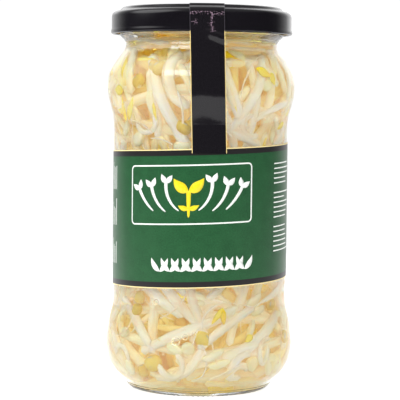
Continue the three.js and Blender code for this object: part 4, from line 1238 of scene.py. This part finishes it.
def green_bean(name, at, height, roll, looks, size=1.0, replaces=()):
    """A mung bean: an egg-shaped section along its length, a little flattened, with a raised hilum on its
    side."""
    by_glass = room_at(height, BEAN_DEEP * size / 2) + NEAR_GLASS
    place = bean_place(at, height) if replaces else around(by_glass, at, height)
    way, out = on_wall(place, roll)
    width = np.cross(out, way)
    share = np.linspace(-1, 1, 21)
    half = size / 2 * np.maximum((1 - np.abs(share) ** 2.3) ** 0.5, 0.02)[:, None]
    turn = full_turn(24)
    axes, long = (way, width, out), size * BEAN_LONG / 2 * share
    rings = lobe(place, axes, long, BEAN_WIDE * half * np.cos(turn), BEAN_DEEP * half * np.sin(turn))
    batch = Batch().add(rings, 0, grained((2.1 * turn)[None, :], (2.6 * share)[:, None], at))
    seam = unit(width * 0.75 + out * 0.66)
    share = np.linspace(-1, 1, 9)
    half = np.sqrt(np.clip(1 - share**2, 0.01, 1))[:, None]
    turn = full_turn(8)
    axes, middle = (way, np.cross(way, seam), seam), place + seam * (size * HILUM_OUT)
    hilum = lobe(middle, axes, 1.05 * share, 0.36 * half * np.cos(turn), 0.22 * half * np.sin(turn))
    batch.add(hilum, 1)
    batch.object(name, looks, "bean_skin", replaces=replaces)


def beans_in_gaps(beans, looks):
    """The beans of the solids again, and those that the solids leave out."""
    for k, bean in enumerate(beans):
        green_bean(f"green_bean_{k + 1}_fine", *bean, looks, replaces=[f"green_bean_{k + 1}"])
    for k, (*bean, size) in enumerate(EXTRA_BEANS):
        green_bean(f"green_bean_more_{k + 1}", *bean, looks, size)


def air_bubbles():
    """Small balls of air just under the glass: circles turned about their own axes."""
    draw = np.random.default_rng(5)
    more = [
        (draw.uniform(-180, 180), draw.uniform(low, high), draw.uniform(0.3, 0.7))
        for low, high, number in ((10, 40, 14), (88, 120, 12)) for _ in range(number)
    ]
    batch = Batch()
    latitude = np.linspace(-np.pi / 2 + 0.12, np.pi / 2 - 0.12, 11)[:, None]
    turn = full_turn(18)[None, :]
    ball = np.stack(np.broadcast_arrays(
        np.cos(latitude) * np.cos(turn), np.cos(latitude) * np.sin(turn), np.sin(latitude),
    ), -1)
    for at, height, size in BUBBLES + more:
        batch.add(around(wall_at(height) - 0.25 - size, at, height) + size * ball)
    batch.object("air_bubbles", [air_bubble()], "brine")


# Stage, light and camera, in metres

TABLE_GLOW = 0.9
TABLE_FRONT, TABLE_FADE, TABLE_BACK, TABLE_HALF = -0.33, 0.15, 0.6, 0.6
TABLE_THICK, TABLE_GAP = 0.002, 0.00002
CAMERA_AWAY, CAMERA_HIGH, CAMERA_AIM_HIGH = 0.620, 0.107, 0.0692
CAMERA_ROLL_DEG, LENS_MM, SENSOR_MM = 0.57, 150.9, 36
KEY_PLACE, KEY_AIM, KEY_SIZE, KEY_WATTS = (-0.3, -0.55, 0.62), (0, 0, 0.07), (0.6, 0.4), 5

# How bright the room is: as polished faces mirror it, as dull faces are lit by it, as what is inside the
# jar is, and as the camera sees it past the jar
FRONT_GLOW, BACK_GLOW, TOP_GLOW = 0.045, 1.05, 0.34
BANK_WAY, BANK_GLOW = (-0.72, -0.1, 0.69), 2.4
DULL_GLOW, INSIDE_GLOW, SEEN_GLOW = 0.62, 1.95, 1.05

# Two screens behind the jar, each a product of steps along axes, as (axis, start, end, glow): one low at
# the right, with a sharp edge, and one higher at the left
SCREENS = [
    [("X", 0.0, 0.12, 1.0), ("Z", 0.015, 0.04, 1.0), ("Y", 0.765, 0.795, 0.5)],
    [("X", -0.03, -0.18, 1.0), ("Z", 0.1, 0.3, 1.0), ("Y", 0.7, 0.85, 0.8)],
]


def table():
    """A slab under the jar. Its front edge, out of view, ends the pale band that the glass mirrors."""
    front, back, half = TABLE_FRONT, TABLE_BACK, TABLE_HALF
    outline = [(-half, front), (half, front), (half, back), (-half, back)]
    corners = [(x, y, z) for z in (-TABLE_THICK, -TABLE_GAP) for x, y in outline]
    faces = [(3, 2, 1, 0), (4, 5, 6, 7), (0, 1, 5, 4), (1, 2, 6, 5), (2, 3, 7, 6), (3, 0, 4, 7)]
    mesh = bpy.data.meshes.new("light_table")
    mesh.from_pydata(corners, [], faces)
    floor = placed("light_table", mesh)
    mesh.materials.append(light_table())


def pointed(name, data, place, aim):
    """A light or camera at a place, with its -Z towards a point and its Y upwards."""
    piece = placed(name, data)
    piece.location = place
    piece.rotation_euler = Vector(np.subtract(aim, place)).to_track_quat("-Z", "Y").to_euler()
    return piece


def studio():
    """The room. Polished faces mirror it as dim on the camera's side, white behind, beside and above, with
    a soft bank of light at the upper left. Everything else is lit evenly from all round, as in a light
    tent, and past the jar the camera sees plain white."""
    world = bpy.data.worlds.new("studio")
    bpy.context.scene.world = world
    world.use_nodes = True
    tree = world.node_tree
    tree.nodes.clear()
    smooth = dict(interpolation_type="SMOOTHSTEP")
    way = add(tree, "TexCoord", out="Generated")
    parts = add(tree, "SeparateXYZ", [way], None)
    back = add(tree, "MapRange", [parts["Y"], 0.3, 0.9, FRONT_GLOW, BACK_GLOW], **smooth)
    top = add(tree, "MapRange", [parts["Z"], 0.5, 0.85, 0.0, TOP_GLOW], **smooth)
    toward = add(tree, "VectorMath", [way, BANK_WAY], "Value", operation="DOT_PRODUCT")
    bank = add(tree, "MapRange", [toward, 0.84, 0.97, 0.0, BANK_GLOW], **smooth)
    mirrored = add(tree, "Math", [add(tree, "Math", [back, top], operation="MAXIMUM"), bank], operation="ADD")
    for screen in SCREENS:
        glow = 1.0
        for axis, start, end, most in screen:
            step = add(tree, "MapRange", [parts[axis], start, end, 0.0, most], **smooth)
            glow = add(tree, "Math", [glow, step], operation="MULTIPLY")
        mirrored = add(tree, "Math", [mirrored, glow], operation="ADD")
    ray = add(tree, "LightPath", out=None)
    level = add(tree, "Mix", {"Factor": ray["Is Glossy Ray"], "A": DULL_GLOW, "B": mirrored}, "Result")
    level = add(tree, "Mix", {"Factor": ray["Is Transmission Ray"], "A": level, "B": INSIDE_GLOW}, "Result")
    level = add(tree, "Mix", {"Factor": ray["Is Camera Ray"], "A": level, "B": SEEN_GLOW}, "Result")
    sky = add(tree, "Background", {"Color": (1, 1, 1, 1), "Strength": level})
    add(tree, "OutputWorld", {"Surface": sky}, None)
    lamp = bpy.data.lights.new("key soft box", "AREA")
    lamp.shape = "RECTANGLE"
    lamp.size, lamp.size_y = KEY_SIZE
    lamp.energy = KEY_WATTS
    pointed("key soft box", lamp, KEY_PLACE, KEY_AIM).visible_glossy = False


def photograph_camera():
    """A long lens at the photograph's height and distance, tilted down a little."""
    camera = bpy.data.cameras.new("camera")
    camera.lens, camera.sensor_width = LENS_MM, SENSOR_MM
    camera.clip_start, camera.clip_end = 0.05, 20
    eye = pointed("camera", camera, (0, -CAMERA_AWAY, CAMERA_HIGH), (0, 0, CAMERA_AIM_HIGH))
    eye.rotation_euler.rotate_axis("Z", np.radians(CAMERA_ROLL_DEG))
    bpy.context.scene.camera = eye


bpy.context.scene.view_settings.view_transform = "Standard"
photograph_camera()
studio()
table()
glass_jar()
brine_fill()
twist_off_lid()
sealing_ring()
wrapped_label()
label_print()
seal_strip()

# Plant tissues: name, colours, the light passed on and how much, gloss, fibre, and how much passes through
leaf, white_stem, white_seed, gold_shaded_stem, gold_shaded_seed, bean_coat, scar = (plant_flesh(*row) for row in [
    ("young sprout leaf", [(0.45, "#efc412"), (0.62, "#f7d82c"), (0.85, "#fae664")],
     "#f0cc10", 0.22, 0.32, 0.3, 0.4),
    ("blanched sprout stem", [(0.45, "#f4dab6"), (0.64, "#fdebd8"), (0.86, "#fff6f0")], "#f4d9b8", 0.13),
    ("seed leaf", [(0.45, "#f3d896"), (0.62, "#fceac0"), (0.85, "#fff6e0")], "#f2d89c", 0.13, 0.36, 0.2),
    # copies of the stem and seed leaf painted a deeper gold, with a stronger golden glow: painted shade and
    # brine tint for sprouts deep behind and on the floor
    ("sprout stem in painted golden shade", [(0.45, "#e6c976"), (0.64, "#f0da98"), (0.86, "#f8ebc4")],
     "#dcbc54", 0.17),
    ("seed leaf in painted golden shade", [(0.45, "#e6c868"), (0.62, "#f0da8c"), (0.85, "#f8eab4")], "#dcbc54", 0.17),
    ("mung bean seed coat", [(0.45, "#c0981a"), (0.62, "#d6b22c"), (0.85, "#e8d062")],
     "#dcae20", 0.2, 0.3, 0.12, 0.25),
    ("hilum", [(0.4, "#7d4a2a"), (0.8, "#e9dcb8")], "#7d4a2a", 0.1, 0.5, 0.2, 0.1),
])
flesh, deep_shaded_flesh = [white_stem, white_seed, leaf], [gold_shaded_stem, gold_shaded_seed, leaf]
bunches, beans = grown_bunches()
fine_bunches(bunches, flesh)
filler_sprouts(bunches, beans, flesh, deep_shaded_flesh)
# The floor's sprouts take the copies painted in golden shade
level_sprouts(
    "sprouts_on_floor", 41, 90, 3.9, 7.0, 25.0, lambda k: YOUNG_LEAF if k % 11 == 5 else k % 2, deep_shaded_flesh,
)
loose_bits(flesh)
level_sprouts("sprouts_in_neck", 37, 74, 119.5, 130.0, 22.6, lambda k: STEM if k % 4 else SEED_LEAF, flesh)
beans_in_gaps(beans, [bean_coat, scar])
air_bubbles()
